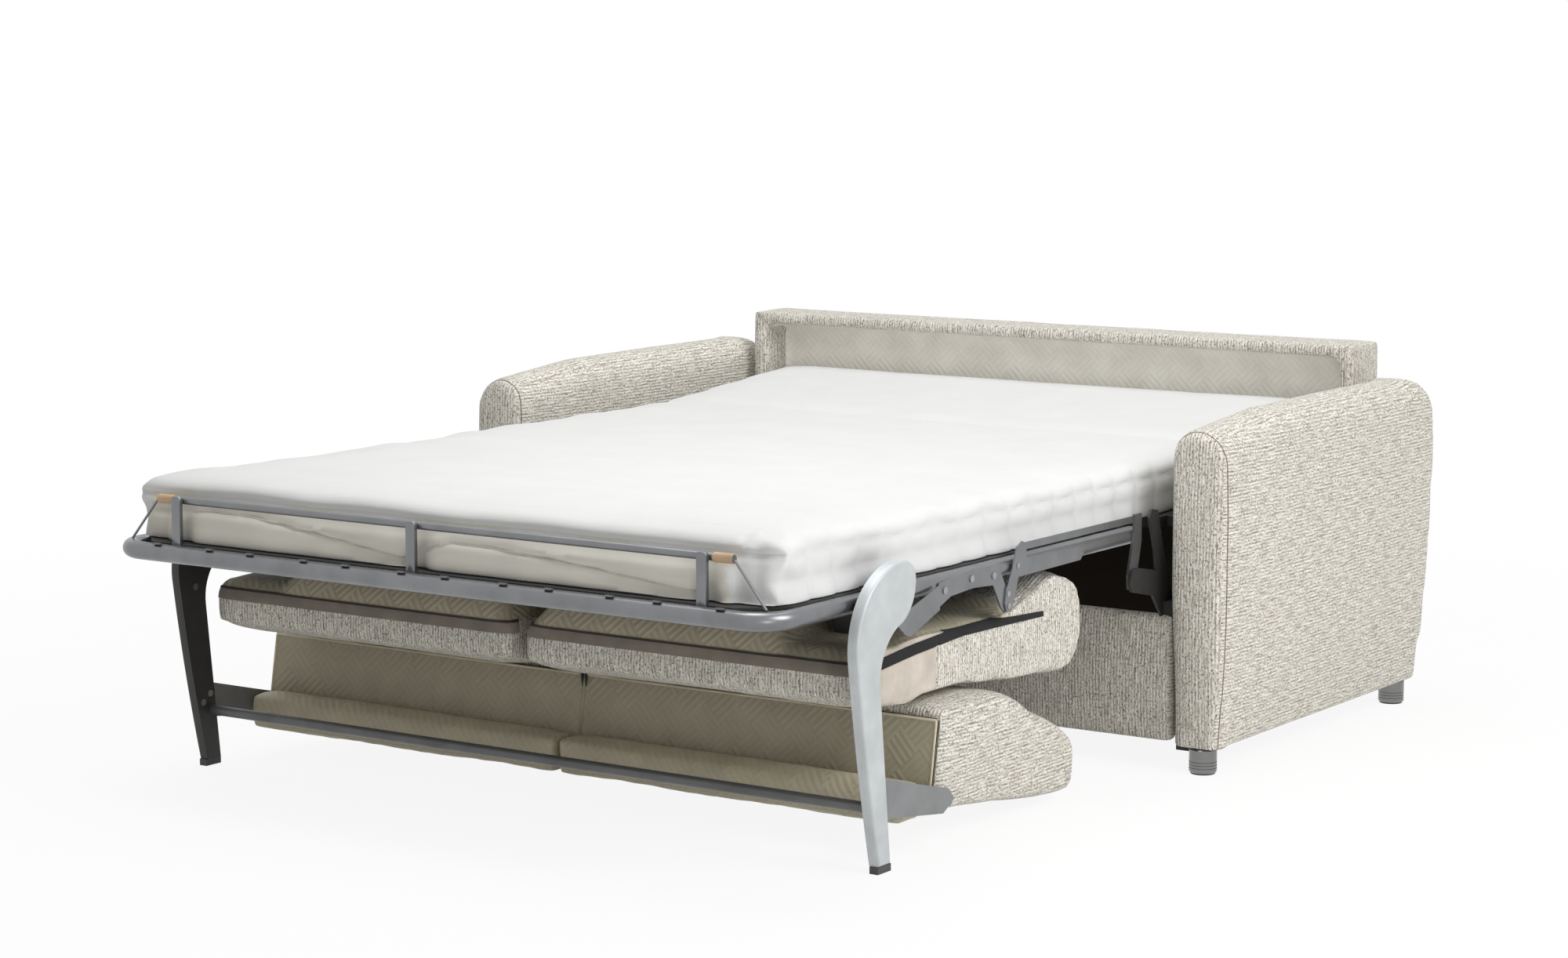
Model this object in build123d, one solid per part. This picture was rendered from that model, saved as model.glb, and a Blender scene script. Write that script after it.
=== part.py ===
from build123d import *
import os

os.makedirs("parts", exist_ok=True)

# Sofa bed with a roll-over bed fitting, modelled opened out. Millimetres, +Z up, -Y is the foot end.
# Stations along Y are first given from the line of the bed legs, then moved to the middle of the part.

# Driving sizes
foot_front = -275.0          # outer face of the tube at the foot end
box_rear = 1825.0            # outer face of the back box
box_front = 1700.0
box_height = 701.0
box_wall = 32.0
box_top_depth = 25.0
box_gap = 21.0               # between the back box and the arms
box_panel = 39.0
base_z = 48.0                # underside of rail and box
arm_width = 117.0
arm_gap = 48.0               # from the middle of a side tube to the arm
arm_front = 914.0
arm_rear = 1800.0
arm_top = 630.0
arm_bottom = 46.0
rail_front = 930.0
rail_depth = 30.0
rail_top = 280.0
rail_notch = 225.0           # lower top edge of the rail where the side tubes come down
tube_half = 685.0            # centre of the side tubes
tube_r = 15.5
tube_z = 430.0
corner_r = 60.0
mattress_inset = 12.0
mattress_base = 447.0
mattress_top = 549.0
head_start = 965.0
head_end = 1775.0
hinge_y = 82.0               # hinge of the foot section, behind the head of the leg
hinge_z = 437.0
fold_z = 352.0               # main pivot height
seat_rear = -30.0
seat_front = 697.0
seat_face = 243.0            # sitting face, turned down while the bed is open
seat_under = 345.0
rail_inset = 123.0           # from the middle of a side tube to the rails under the seat
shift_y = 140.0              # travel of the seat along the frame
shift_z = -25.0
back_gap = 11.0              # between the backrest and the arms
back_low = 10.0
back_base = 150.0            # lower edge of the backrest, turned towards the seat
back_tip = 616.0
back_pivot_y = 167.5
back_pivot_z = 242.5
leg_gap = 24.5               # from the middle of a side tube to the inner face of a leg
leg_thick = 20.0
bar_y = -6.0
bar_z = 101.0
bar_r = 9.0
back_tube_y = 195.0
back_tube_z = 81.0
back_tube_r = 11.0
rod_inset = 83.0
rod_z = 520.0
rod_r = 6.5
foot_r = 25.0
foot_h = 45.7
sheet = 2.5                  # thickness of the pressed steel plates

# Clearances
slip = 0.3
run = 0.05
stow_gap = 3.0
seam = 2.0

# Derived stations
arm_inner = tube_half + arm_gap
arm_outer = arm_inner + arm_width
box_half = arm_inner - box_gap
mattress_half = tube_half - mattress_inset
seat_half = tube_half
rail_in = tube_half - rail_inset
back_half = arm_inner - back_gap
leg_inner = tube_half + leg_gap
leg_outer = leg_inner + leg_thick
head_half = tube_half - 5
rod_half = tube_half - rod_inset
y_mid = (foot_front + box_rear) / 2
fold_y = (box_front - stow_gap - (mattress_top - hinge_z) + hinge_y) / 2
plate_in = tube_half + tube_r + slip
plate_out = plate_in + sheet
layer_in = plate_out + 0.2
layer_out = layer_in + sheet
tube_top = tube_z + tube_r
foot_mid = foot_front + tube_r
rod_y = foot_mid + 22.5
mid_end = 2 * fold_y - head_start


def at(y):
    return y - y_mid


def block(x0, x1, y0, y1, z0, z1):
    size = (x1 - x0, y1 - y0, z1 - z0)
    return Pos((x0 + x1) / 2, at((y0 + y1) / 2), (z0 + z1) / 2) * Box(*size)


def rod_x(x0, x1, y, z, r):
    return Pos((x0 + x1) / 2, at(y), z) * Rot(0, 90, 0) * Cylinder(r, x1 - x0)


def rod_z_up(x, y, z0, z1, r):
    return Pos(x, at(y), (z0 + z1) / 2) * Cylinder(r, z1 - z0)


def rod_between(a, b, r):
    start = Vector(a[0], at(a[1]), a[2])
    end = Vector(b[0], at(b[1]), b[2])
    plane = Plane(origin=start, z_dir=end - start)
    return extrude(plane * Circle(r), amount=(end - start).length)


def plate(points, x0, x1):
    line = Polyline(*[(at(y), z) for y, z in points], close=True)
    return extrude(Plane.YZ.offset(x0) * make_face(line), amount=x1 - x0)


def arcs_face(points, x, grow_y=1.0, grow_z=1.0):
    # points run corner, bulge, corner, bulge and so on round a closed outline
    mid_y = (min(p[0] for p in points) + max(p[0] for p in points)) / 2
    mid_z = (min(p[1] for p in points) + max(p[1] for p in points)) / 2
    moved = [(at(mid_y + (y - mid_y) * grow_y), mid_z + (z - mid_z) * grow_z) for y, z in points]
    moved.append(moved[0])
    edges = [ThreePointArc(*moved[i:i + 3]) for i in range(0, len(points), 2)]
    return Plane.YZ.offset(x) * make_face(Curve() + edges)


def padded(points, x0, x1, draw, in_y, in_z):
    # a stuffed form along X with drawn-in ends and a light crown
    middle = (x0 + x1) / 2
    low_y = 1 - (1 - in_y) * 0.25
    low_z = 1 - (1 - in_z) * 0.25
    faces = [
        arcs_face(points, x0, in_y, in_z),
        arcs_face(points, x0 + draw, low_y, low_z),
        arcs_face(points, middle),
        arcs_face(points, x1 - draw, low_y, low_z),
        arcs_face(points, x1, in_y, in_z),
    ]
    return loft(faces, ruled=True)


def pair(shape):
    return Compound([*shape.solids(), *mirror(shape, about=Plane.YZ).solids()])


def group(shapes):
    return Compound([s for shape in shapes for s in shape.solids()])


def save(shape, name):
    export_step(shape, "parts/" + name + ".step")


# Carcass: arms
arm_edges = [
    Line((arm_inner, arm_bottom), (arm_inner, arm_top - 62)),
    ThreePointArc((arm_inner, arm_top - 62), (arm_inner + 16, arm_top - 16), ((arm_inner + arm_outer) / 2 - 6, arm_top)),
    ThreePointArc(
        ((arm_inner + arm_outer) / 2 - 6, arm_top), (arm_outer - 22, arm_top - 20), (arm_outer - 4, arm_top - 75)
    ),
    ThreePointArc((arm_outer - 4, arm_top - 75), (arm_outer, arm_top / 2), (arm_outer - 16, arm_bottom)),
    Line((arm_outer - 16, arm_bottom), (arm_inner, arm_bottom)),
]
arm_section = make_face(Curve() + arm_edges)
arm_bar = extrude(Plane.XZ.offset(-at(arm_front)) * arm_section, amount=-(arm_rear - arm_front))
arm_side = [
    Line((at(arm_front), arm_bottom), (at(arm_front), arm_top)),
    Line((at(arm_front), arm_top), (at(arm_rear - 140), arm_top)),
    ThreePointArc(
        (at(arm_rear - 140), arm_top), (at(arm_rear - 42), arm_top - 42), (at(arm_rear), arm_top - 140)
    ),
    Line((at(arm_rear), arm_top - 140), (at(arm_rear - 42), arm_bottom)),
    Line((at(arm_rear - 42), arm_bottom), (at(arm_front), arm_bottom)),
]
arm_cut = extrude(Plane.YZ.offset(arm_inner) * make_face(Curve() + arm_side), amount=arm_outer - arm_inner)
arm_right = arm_bar & arm_cut
save(arm_right, "arm_right")
save(mirror(arm_right, about=Plane.YZ), "arm_left")
arm_mid_x = (arm_inner + arm_outer) / 2
arm_mid_z = (arm_bottom + arm_top) / 2


def arm_panel(share, thick):
    face = Pos(arm_mid_x * (1 - share), arm_mid_z * (1 - share), 0) * scale(arm_section, share)
    return extrude(Plane.XZ.offset(-at(arm_front - thick)) * face, amount=-thick)


save(pair(arm_panel(0.97, 3) - arm_panel(0.90, 3)), "arm_welts")

# Carcass: back box
post = block(box_half - box_wall, box_half, box_front, box_rear, base_z, box_height - box_top_depth)
save(pair(post), "back_posts")
save(block(-box_half, box_half, box_front, box_rear, box_height - box_top_depth, box_height), "back_top")
panel_half = box_half - box_wall
save(
    block(-panel_half, panel_half, box_rear - box_panel, box_rear, base_z, box_height - box_top_depth), "back_panel"
)
spacer_y = (box_front + arm_rear) / 2
spacer_wide = 35.0
save(pair(block(box_half, arm_inner, spacer_y - spacer_wide, spacer_y, base_z + 52, fold_z + base_z)), "box_spacers")

# Carcass: front rail, with its ends cut down for the side tubes
notch_x = tube_half - 2 * tube_r
rail = block(-arm_inner, arm_inner, rail_front, rail_front + rail_depth, base_z, rail_notch)
rail += block(-notch_x, notch_x, rail_front, rail_front + rail_depth, rail_notch, rail_top)
save(rail, "front_rail")

# Carcass: feet with one groove
foot_x = (arm_inner + arm_outer) / 2 + 6


def sofa_foot(y):
    foot = rod_z_up(foot_x, y, 0, foot_h, foot_r)
    ring = rod_z_up(foot_x, y, foot_h * 0.32, foot_h * 0.44, foot_r + 5)
    ring -= rod_z_up(foot_x, y, foot_h * 0.32, foot_h * 0.44, foot_r - 3)
    return foot - ring


save(group([pair(sofa_foot(arm_front + 22)), pair(sofa_foot(arm_rear - 72))]), "sofa_feet")

# Carcass: side plates that carry the main pivot
side_in = layer_out + 0.5
side_out = side_in + 5
side_line = [
    (fold_y - 18, fold_z), (fold_y - 11, fold_z - 18), (fold_y + 8, fold_z - 22), (rail_front - 30, fold_z - 34),
    (rail_front + 15, fold_z - 90), (rail_front + 52, fold_z - 96), (rail_front + 58, fold_z - 64),
    (rail_front + 30, fold_z - 20), (rail_front + 8, fold_z + 48), (rail_front - 15, fold_z + 118),
    (rail_front - 37, fold_z + 122), (rail_front - 46, fold_z + 108), (rail_front - 25, fold_z + 48),
    (rail_front - 18, fold_z + 10), (fold_y + 16, fold_z + 22), (fold_y - 8, fold_z + 20),
]
save(pair(plate(side_line, side_in, side_out)), "side_plates")
save(
    pair(block(side_out, arm_inner, rail_front + 10, rail_front + 50, fold_z - 88, fold_z - 50)), "side_blocks"
)
pin_r = 6.0
save(pair(rod_x(plate_in - 0.2, side_in, fold_y, fold_z, pin_r)), "fold_pins")

# Carcass: upright guides for the head section
guide_front = rail_front + 75
guide_rear = box_front - 55
runner_z0 = tube_z - 2
runner_z1 = mattress_base - 1
guides = []
for y in (guide_front, guide_rear):
    guides.append(pair(block(side_in, arm_inner, y, y + 30, 20, mattress_base + 8)))
save(group(guides), "head_guides")

# Seat frame: side tubes, cross bars, net
tube_start = hinge_y + 8
tube_end = fold_y + 28
tube = rod_between((tube_half, tube_start, tube_z), (tube_half, tube_end, tube_z), tube_r)
save(tube, "frame_tube_right")
save(mirror(tube, about=Plane.YZ), "frame_tube_left")
bar_half = tube_half - tube_r - slip
bar_ys = (200.0, 405.0, fold_y + 10)
save(
    group([block(-bar_half, bar_half, y, y + 26, tube_z - 9, tube_z + 13) for y in bar_ys]), "cross_bars"
)
net_half = tube_half - 8.2
net_z0 = mattress_base - 3.6
net_z1 = mattress_base - 0.4
save(block(-net_half, net_half, tube_start, mid_end, net_z0, net_z1), "mesh_mid")

# Seat frame: plates and tie bars on the outer side of the tubes
tie_z = tube_z + 31
arm_y = fold_y + 7
arm_plate = plate(
    [
        (fold_y - 12, fold_z - 14), (fold_y + 12, fold_z - 14), (arm_y + 26, tube_z - 10), (arm_y + 26, tie_z + 9),
        (arm_y, tie_z + 9), (arm_y, tube_z + 6), (fold_y - 14, fold_z + 12),
    ],
    plate_in,
    plate_out + 2.2,
)
arm_plate -= rod_x(plate_in - 5, plate_out + 9, fold_y, fold_z, pin_r + run)
save(pair(arm_plate), "fold_arms")
tie_start = 447.0
plate_start = 192.0
save(pair(block(plate_in, plate_out, tie_start, arm_y - slip, tie_z - 6, tie_z + 6)), "tie_bars")
low_line = [
    (plate_start, tube_z - 36), (230, tube_z - 22), (300, tube_z - 18), (362, tube_z - 22), (388, tube_z - 64),
    (402, tube_z - 74), (416, tube_z - 70), (412, tube_z - 46), (392, tube_z - 12), (376, tube_z + 11),
    (290, tube_z + 14), (plate_start, tube_z + 4),
]
save(pair(plate(low_line, plate_in, plate_out)), "lower_plates")
high_line = [
    (396, tube_z - 58), (402, tube_z - 72), (416, tube_z - 74), (424, tube_z - 56), (440, tube_z - 18),
    (648, tube_z - 16), (660, tube_z - 5), (648, tube_z + 7), (466, tube_z + 10), (464, tie_z + 5),
    (448, tie_z + 11), (434, tie_z + 3), (420, tube_z - 2), (400, tube_z - 34),
]
save(pair(plate(high_line, layer_in, layer_out)), "upper_plates")
bolts = []
for y, z in ((plate_start + 18, tube_z - 10), (293, tube_z - 2), (363, tube_z - 6)):
    bolts.append(pair(rod_x(plate_out, plate_out + 2, y, z, 6)))
for y, z in ((409, tube_z - 63), (407, tube_z - 42), (438, tube_z + 1)):
    bolts.append(pair(rod_x(layer_out, layer_out + 1.0, y, z, 5)))
save(group(bolts), "frame_bolts")

# Seat frame: hinge ears for the foot section, with their pins
ear_r = 7.0
ears = []
for x in (tube_half - 9, tube_half + 4.3):
    ear = block(x, x + 4.7, hinge_y, tube_start, hinge_z - ear_r, hinge_z + 6)
    ear += rod_x(x, x + 4.7, hinge_y, hinge_z, ear_r)
    ear -= rod_x(x - 1, x + 6, hinge_y, hinge_z, 3 + run)
    ears.append(pair(ear))
save(group(ears), "hinge_ears")
save(pair(rod_x(tube_half - 9, tube_half + 9, hinge_y, hinge_z, 3)), "hinge_pins")

# Seat frame: guides under which the seat rails run, sloped like the travel
slope = shift_z / shift_y
track_y = 300.0
track_z = seat_under + 47


def track(y):
    return track_z + slope * (y - track_y)


guide_top = tube_z - 9
guide_line = [(185, track(185)), (440, track(440)), (440, guide_top), (185, guide_top)]
save(pair(plate(guide_line, rail_in - 2, rail_in + 38)), "seat_guides")


# Mattress: four lengths, the one over the main pivot bends
def mattress(y0, y1, rolls=False, crease=None):
    top = mattress_top - 4
    low = mattress_base + 1
    mid = (y0 + y1) / 2
    pts = []
    if rolls:
        half = (low + top) / 2
        pts += [(y0 + 6, low), (y0, (low + half) / 2), (y0 + 6, half), (y0, (half + top) / 2)]
        pts += [(y0 + 9, top)]
    else:
        pts += [(y0 + 2, low), (y0, (low + top) / 2), (y0 + 2, top)]
    if crease:
        pts += [((y0 + crease) / 2, mattress_top), (crease, top - 5), ((crease + y1) / 2, mattress_top)]
    else:
        pts += [(mid, mattress_top)]
    pts += [(y1 - 2, top), (y1, (low + top) / 2), (y1 - 2, low), (mid, mattress_base)]
    return padded(pts, -mattress_half, mattress_half, 40, 0.996, 0.93)


save(mattress(rod_y + rod_r + 2, hinge_y - seam, rolls=True), "mattress_foot")
save(mattress(hinge_y + seam, mid_end), "mattress_mid")
save(mattress(mid_end + slip, head_start - slip), "mattress_fold")
save(mattress(head_start, head_end, crease=1270.0), "mattress_head")

# Foot section: bent tube, net, clips
side_x = tube_half
tube_stop = hinge_y - 26
path = Polyline(
    (side_x, at(tube_stop)), (side_x, at(foot_mid)), (-side_x, at(foot_mid)), (-side_x, at(tube_stop))
)
path = Pos(0, 0, tube_z) * fillet(path.vertices().sort_by(Axis.Y)[0:2], corner_r)
start = Plane(origin=(side_x, at(tube_stop), tube_z), z_dir=(0, -1, 0))
save(sweep(start * Circle(tube_r), path=path), "foot_tube")
net_front = foot_mid + 8.2
net_line = Polyline(
    (-net_half, at(tube_stop)), (-net_half, at(net_front + corner_r + 6)), (-net_half + corner_r + 6, at(net_front)),
    (net_half - corner_r - 6, at(net_front)), (net_half, at(net_front + corner_r + 6)), (net_half, at(tube_stop)),
    close=True,
)
save(extrude(Plane.XY.offset(net_z0) * make_face(net_line), amount=net_z1 - net_z0), "mesh_foot")
clip_count = 12
clip_step = 2 * (rod_half - 20) / (clip_count - 1)
clips = []
for i in range(clip_count):
    x = -rod_half + 20 + i * clip_step + (14 if i % 2 else 0)
    clips.append(block(x - 8, x + 8, foot_mid - 11, foot_mid - 4, tube_top, tube_top + 2.2))
save(group(clips), "mesh_clips")

# Foot section: retaining rail for the mattress
post_r = 9.5
post_y = rod_y - rod_r - post_r - 0.1
post_x = rod_half - 51
post_top = rod_z + rod_r
posts = [rod_z_up(x, post_y, net_z1 + 0.1, post_top, post_r) for x in (-post_x, -30, post_x)]
save(group(posts), "rail_posts")
save(rod_x(-rod_half, rod_half, rod_y, rod_z, rod_r), "rail_rod")
sleeve = rod_x(rod_half - 36, rod_half, rod_y, rod_z, rod_r + 1.5) - rod_x(0, rod_half + 9, rod_y, rod_z, rod_r + run)
save(pair(sleeve), "rail_sleeves")
corner_x = tube_half - corner_r * 0.3
wire = rod_between((rod_half + 3, rod_y - 2, rod_z - 2), (corner_x - 2, rod_y - 4, tube_top + 1.2), 2.2)
save(pair(wire), "rail_wires")
tongue = block(tube_half - 4, tube_half + 4, tube_stop, hinge_y, hinge_z - 6, hinge_z + 6)
tongue += rod_x(tube_half - 4, tube_half + 4, hinge_y, hinge_z, ear_r - 0.5)
tongue -= rod_x(tube_half - 9, tube_half + 9, hinge_y, hinge_z, 3 + run)
save(pair(tongue), "foot_tongues")

# Seat: two cushions, edge tape, rails, spine
nose = seat_front
seat_line = [
    (seat_rear, seat_face + 27), (seat_rear - 1.5, seat_face + 50), (seat_rear + 1, seat_face + 73),
    (seat_rear + 11, seat_under - 13), (seat_rear + 32, seat_under - 7),
    (190, seat_under + 1), (380, seat_under + 7),
    (476, seat_under + 18), (nose - 132, seat_under + 50),
    (nose - 62, seat_under + 53), (nose - 17, seat_under + 27),
    (nose + 1, seat_under - 15), (nose - 3, seat_face + 32),
    (nose - 25, seat_face - 11), (nose - 75, seat_face - 28),
    (470, seat_face - 19), (311, seat_face - 2),
    (230, seat_face - 1), (142, seat_face + 1),
    (60, seat_face + 10.5),
]
cushion_gap = 7.0
seat_right = padded(seat_line, cushion_gap, seat_half, 45, 0.985, 0.93)
save(seat_right, "seat_cushion_right")
save(mirror(seat_right, about=Plane.YZ), "seat_cushion_left")
tape = [
    block(-seat_half + 20, seat_half - 20, seat_rear - 3.5, seat_rear - 1.9, seat_under - 51, seat_under - 33),
    pair(plate(
        [(20, seat_under - 12), (380, seat_under - 2), (560, seat_under - 22), (560, seat_under - 10),
         (384, seat_under + 10), (20, seat_under)],
        seat_half + 0.3, seat_half + 2.8)),
]
save(group(tape), "seat_tape")
rail_line = [
    (100, seat_under - 1.5), (300, seat_under + 5.8), (300, track(300) - slip), (100, track(100) - slip)
]
save(pair(plate(rail_line, rail_in, rail_in + 36)), "seat_rails")
spine_y = back_pivot_y + 22.5
spine = block(-rail_in + slip, rail_in - slip, spine_y, spine_y + 40, seat_under + 2.7, seat_under + 8)
spine += plate(
    [(back_pivot_y - 9, back_pivot_z - 4), (back_pivot_y + 9, back_pivot_z - 4),
     (spine_y + 35, seat_under + 4), (spine_y, seat_under + 4)],
    -2, 2,
)
spine += rod_x(-2, 2, back_pivot_y, back_pivot_z, 9.5)
spine -= rod_x(-9, 9, back_pivot_y, back_pivot_z, 4 + run)
save(spine, "seat_spine")

# Backrest: two cushions, lining, tube, spine
back_line = [
    (back_base, back_low + 52), (back_base + 12, back_low + 131), (back_base + 27, seat_face - 21),
    (back_base + 31, seat_face - 10), (back_base + 42, seat_face - 7),
    (back_base + 130, seat_face - 6.5), (back_tip - 255, seat_face - 13),
    (back_tip - 184, seat_face - 31), (back_tip - 124, seat_face - 65),
    (back_tip - 60, back_low + 140), (back_tip - 10, back_low + 106),
    (back_tip + 6, back_low + 72), (back_tip, back_low + 35),
    (back_tip - 6, back_low + 8), (back_tip - 26, back_low),
    (back_tip - 141, back_low + 11), (back_tip - 251, back_low + 26),
    (back_base + 105, back_low + 37),
]
back_right = padded(back_line, cushion_gap, back_half, 45, 0.985, 0.95)
back_right -= rod_x(0, back_half + 9, back_tube_y, back_tube_z, back_tube_r + slip)
save(back_right, "back_cushion_right")
save(mirror(back_right, about=Plane.YZ), "back_cushion_left")
lining_line = [
    (back_base - 2.8, back_low + 60), (back_base + 22.2, seat_face - 27),
    (back_base + 24.6, seat_face - 27), (back_base - 0.4, back_low + 60),
]
save(pair(plate(lining_line, 30, back_half - 30)), "back_lining")
blade_in = back_half + 1.5
blade_out = blade_in + 3
save(rod_x(-blade_in, blade_in, back_tube_y, back_tube_z, back_tube_r), "back_tube")
strap = plate(
    [(back_pivot_y - 9, back_pivot_z), (back_pivot_y + 9, back_pivot_z), (back_tube_y + 8, back_tube_z + back_tube_r + slip),
     (back_tube_y - 8, back_tube_z + back_tube_r + slip)],
    2.3, 5.3,
)
strap += rod_x(2.3, 5.3, back_pivot_y, back_pivot_z, 9)
strap -= rod_x(0, 9, back_pivot_y, back_pivot_z, 4 + run)
save(pair(strap), "back_straps")
save(rod_x(-5.8, 5.8, back_pivot_y, back_pivot_z, 4), "back_pin")

# Backrest: legs, cross bar, blades
leg_top = 492.0
leg_low = 12.0
leg_bend = 295.0
leg_heel = 12.0
leg_waist = -18.0
leg_edges = [
    Line((at(-22), leg_low), (at(leg_heel), leg_low)),
    Line((at(leg_heel), leg_low), (at(leg_waist), leg_bend)),
    ThreePointArc((at(leg_waist), leg_bend), (at(-10), 345), (at(31), 387)),
    ThreePointArc((at(31), 387), (at(72), 416), (at(84), 450)),
    ThreePointArc((at(84), 450), (at(78), 478), (at(50), leg_top)),
    ThreePointArc((at(50), leg_top), (at(0), 484), (at(-53), 449)),
    ThreePointArc((at(-53), 449), (at(-80), 400), (at(-85), 350)),
    ThreePointArc((at(-85), 350), (at(-68), 240), (at(-22), leg_low)),
]


def leg_rear(z):
    return leg_heel + (leg_waist - leg_heel) * (z - leg_low) / (leg_bend - leg_low)


leg_split = leg_inner + 8
leg_face = make_face(Curve() + leg_edges)
leg_cover = extrude(Plane.YZ.offset(leg_split + 0.1) * leg_face, amount=leg_outer - leg_split - 0.1)
save(leg_cover, "leg_cover_right")
save(mirror(leg_cover, about=Plane.YZ), "leg_cover_left")
save(pair(extrude(Plane.YZ.offset(leg_inner) * leg_face, amount=leg_split - leg_inner)), "leg_inners")
save(pair(block(leg_inner + 2, leg_outer - 2, -24, leg_heel + 2, 0, leg_low - 0.1)), "leg_tips")
leg_bolts = []
bolt_places = ((bar_y - 6, bar_z + 31), (bar_y - 24, bar_z + 17), (-44, leg_bend + 35), (20, leg_top - 52))
for y, z in bolt_places:
    leg_bolts.append(pair(rod_x(leg_inner - 0.9, leg_inner, y, z, 6)))
save(group(leg_bolts), "leg_bolts")
save(rod_x(-leg_inner, leg_inner, bar_y, bar_z, bar_r), "back_bar")
stay_line = [
    (30, tube_z - 12), (60, tube_z - 46), (82, tube_z - 64), (98, tube_z - 69), (plate_start - 6, tube_z - 38),
    (plate_start - 6, tube_z + 2), (74, tube_z - 30), (50, tube_z - 2),
]
save(pair(plate(stay_line, layer_out + 1.3, leg_inner - 0.2)), "leg_stays")
blade_line = [
    (leg_rear(bar_z + 49) + slip, bar_z + 49), (leg_rear(bar_z - 16) + slip, bar_z - 16),
    (back_tube_y - 23, back_tube_z - 19), (back_tube_y + 12, back_tube_z),
    (back_tube_y - 8, back_tube_z + 20), (back_tube_y - 75, back_tube_z + 37),
]
save(pair(plate(blade_line, blade_in + 0.1, blade_out)), "back_blades")

# Head section: rails, bars, net, runners
head_rail = block(head_half - 40, head_half, head_start + 5, head_end - 5, runner_z0, runner_z1)
save(pair(head_rail), "head_rails")
cross_half = head_half - 40.1
bars = []
for y in (head_start + 10, (head_start + head_end) / 2, head_end - 40):
    bars.append(block(-cross_half, cross_half, y, y + 30, runner_z0, runner_z1))
save(group(bars), "head_bars")
save(
    block(-head_half, head_half, head_start + 5, head_end - 5, runner_z1 + 0.1, mattress_base - 0.1), "mesh_head"
)
runners = []
for y in (guide_front, guide_rear):
    runners.append(pair(block(head_half, side_in - slip, y + 3, y + 27, runner_z0, runner_z1)))
save(group(runners), "head_runners")
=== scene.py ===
import math

import bmesh
import bpy
import numpy as np
from bpy.props import FloatProperty, FloatVectorProperty, PointerProperty
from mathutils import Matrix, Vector, noise
from mathutils.bvhtree import BVHTree


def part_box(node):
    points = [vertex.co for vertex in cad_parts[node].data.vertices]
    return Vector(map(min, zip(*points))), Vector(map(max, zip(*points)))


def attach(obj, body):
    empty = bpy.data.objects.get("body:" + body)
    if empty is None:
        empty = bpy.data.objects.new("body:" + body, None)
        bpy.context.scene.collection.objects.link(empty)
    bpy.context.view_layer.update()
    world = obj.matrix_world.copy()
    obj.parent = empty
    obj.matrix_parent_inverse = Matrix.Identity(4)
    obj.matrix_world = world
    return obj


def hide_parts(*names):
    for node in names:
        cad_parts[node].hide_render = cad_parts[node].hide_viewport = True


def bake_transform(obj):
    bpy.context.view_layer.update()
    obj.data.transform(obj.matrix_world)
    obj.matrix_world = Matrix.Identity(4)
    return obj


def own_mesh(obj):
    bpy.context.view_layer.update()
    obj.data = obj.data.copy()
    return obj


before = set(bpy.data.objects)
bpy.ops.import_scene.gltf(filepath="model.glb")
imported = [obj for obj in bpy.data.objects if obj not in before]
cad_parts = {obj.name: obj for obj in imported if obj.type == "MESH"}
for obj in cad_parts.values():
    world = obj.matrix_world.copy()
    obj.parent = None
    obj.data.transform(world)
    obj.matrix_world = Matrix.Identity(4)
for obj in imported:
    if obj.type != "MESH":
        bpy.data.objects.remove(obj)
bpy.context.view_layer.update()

bl_info = {
    "name": "Sofa bed",
    "version": (1, 0, 0),
    "blender": (4, 5, 0),
    "location": "3D View > Sidebar > Sofa bed",
    "description": "Upholstery, mattress, fitting and stage of a sofa bed opened out",
    "category": "Object",
}

# All sizes are in metres, in the part's own frame: X to the right, Y to the rear, Z up.

# Arms: corner radius of the solid and of the padding, line of the top, seam behind the front
ARM_ROUND = 0.140
ARM_PADDED_ROUND = 0.075
ARM_TOP_Y = (0.14, 0.375, 0.64, 0.95, 1.025)
ARM_TOP_RISE = (-0.013, 0.009, 0.012, 0.012, 0.004)
ARM_SEAM = 0.011

# Back box and front rail
BOX_FRONT = 0.925
BOX_LINED_TO = 0.44          # below this the inside is near-black cover cloth, partly painted shade of the cavity
NOTCH_X = 0.654
NOTCH_Z = 0.225

# Seat: zip tape along the rear, seam of the end panel, black binding on the ends (Y, lower Z, upper Z)
TAPE_LOW = 0.309
TAPE_HIGH = 0.326
TAPE_FRONT = -0.765
ZIP_GAP = 0.0004
ZIP_HIGH = 0.0036
END_PANEL_Y = -0.555
BINDING_X = 0.672
BINDING = ((-0.772, 0.308, 0.326), (-0.621, 0.322, 0.340), (-0.472, 0.331, 0.348), (-0.218, 0.327, 0.336))

# Lined front of the backrest: middle, height, top edge and lean of the panel
LINING_Y = -0.6125
LINING_Z = 0.141
LINING_HIGH = 0.150
LINING_TOP = 0.2135
LINING_LEAN = 0.171

# Mattress: height of the nets, thickness, hinge of the foot section, stretch that bends
MATTRESS_BASE = 0.447
MATTRESS_THICK = 0.100
FOLD_START = -0.073
FOLD_END = 0.190
CREAM_TOP = 0.524            # upper edge of the ticking at the foot
POSTS_X = (-0.551, -0.030, 0.551)

# Sagging seam of the cream rolls at the foot of the mattress: X and Z
PILLOW_X = (-0.56, -0.50, -0.40, -0.25, -0.06, -0.03, 0.0, 0.03, 0.12, 0.30, 0.50, 0.56)
PILLOW_Z = (0.498, 0.503, 0.500, 0.485, 0.465, 0.475, 0.485, 0.494, 0.493, 0.482, 0.466, 0.466)

# Sofa feet
FOOT_RADIUS = 0.025
FOOT_GROOVES = (0.011, 0.0165, 0.022)

# A band of the wave texture is this many of its units wide at scale 1
WAVE_UNIT = 3.1831
WHITE = (1, 1, 1)
BLACK = (0, 0, 0)


def colour(name, about, value):
    return FloatVectorProperty(
        name=name, description=about, subtype="COLOR", size=3, min=0, max=1, default=value
    )


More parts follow.
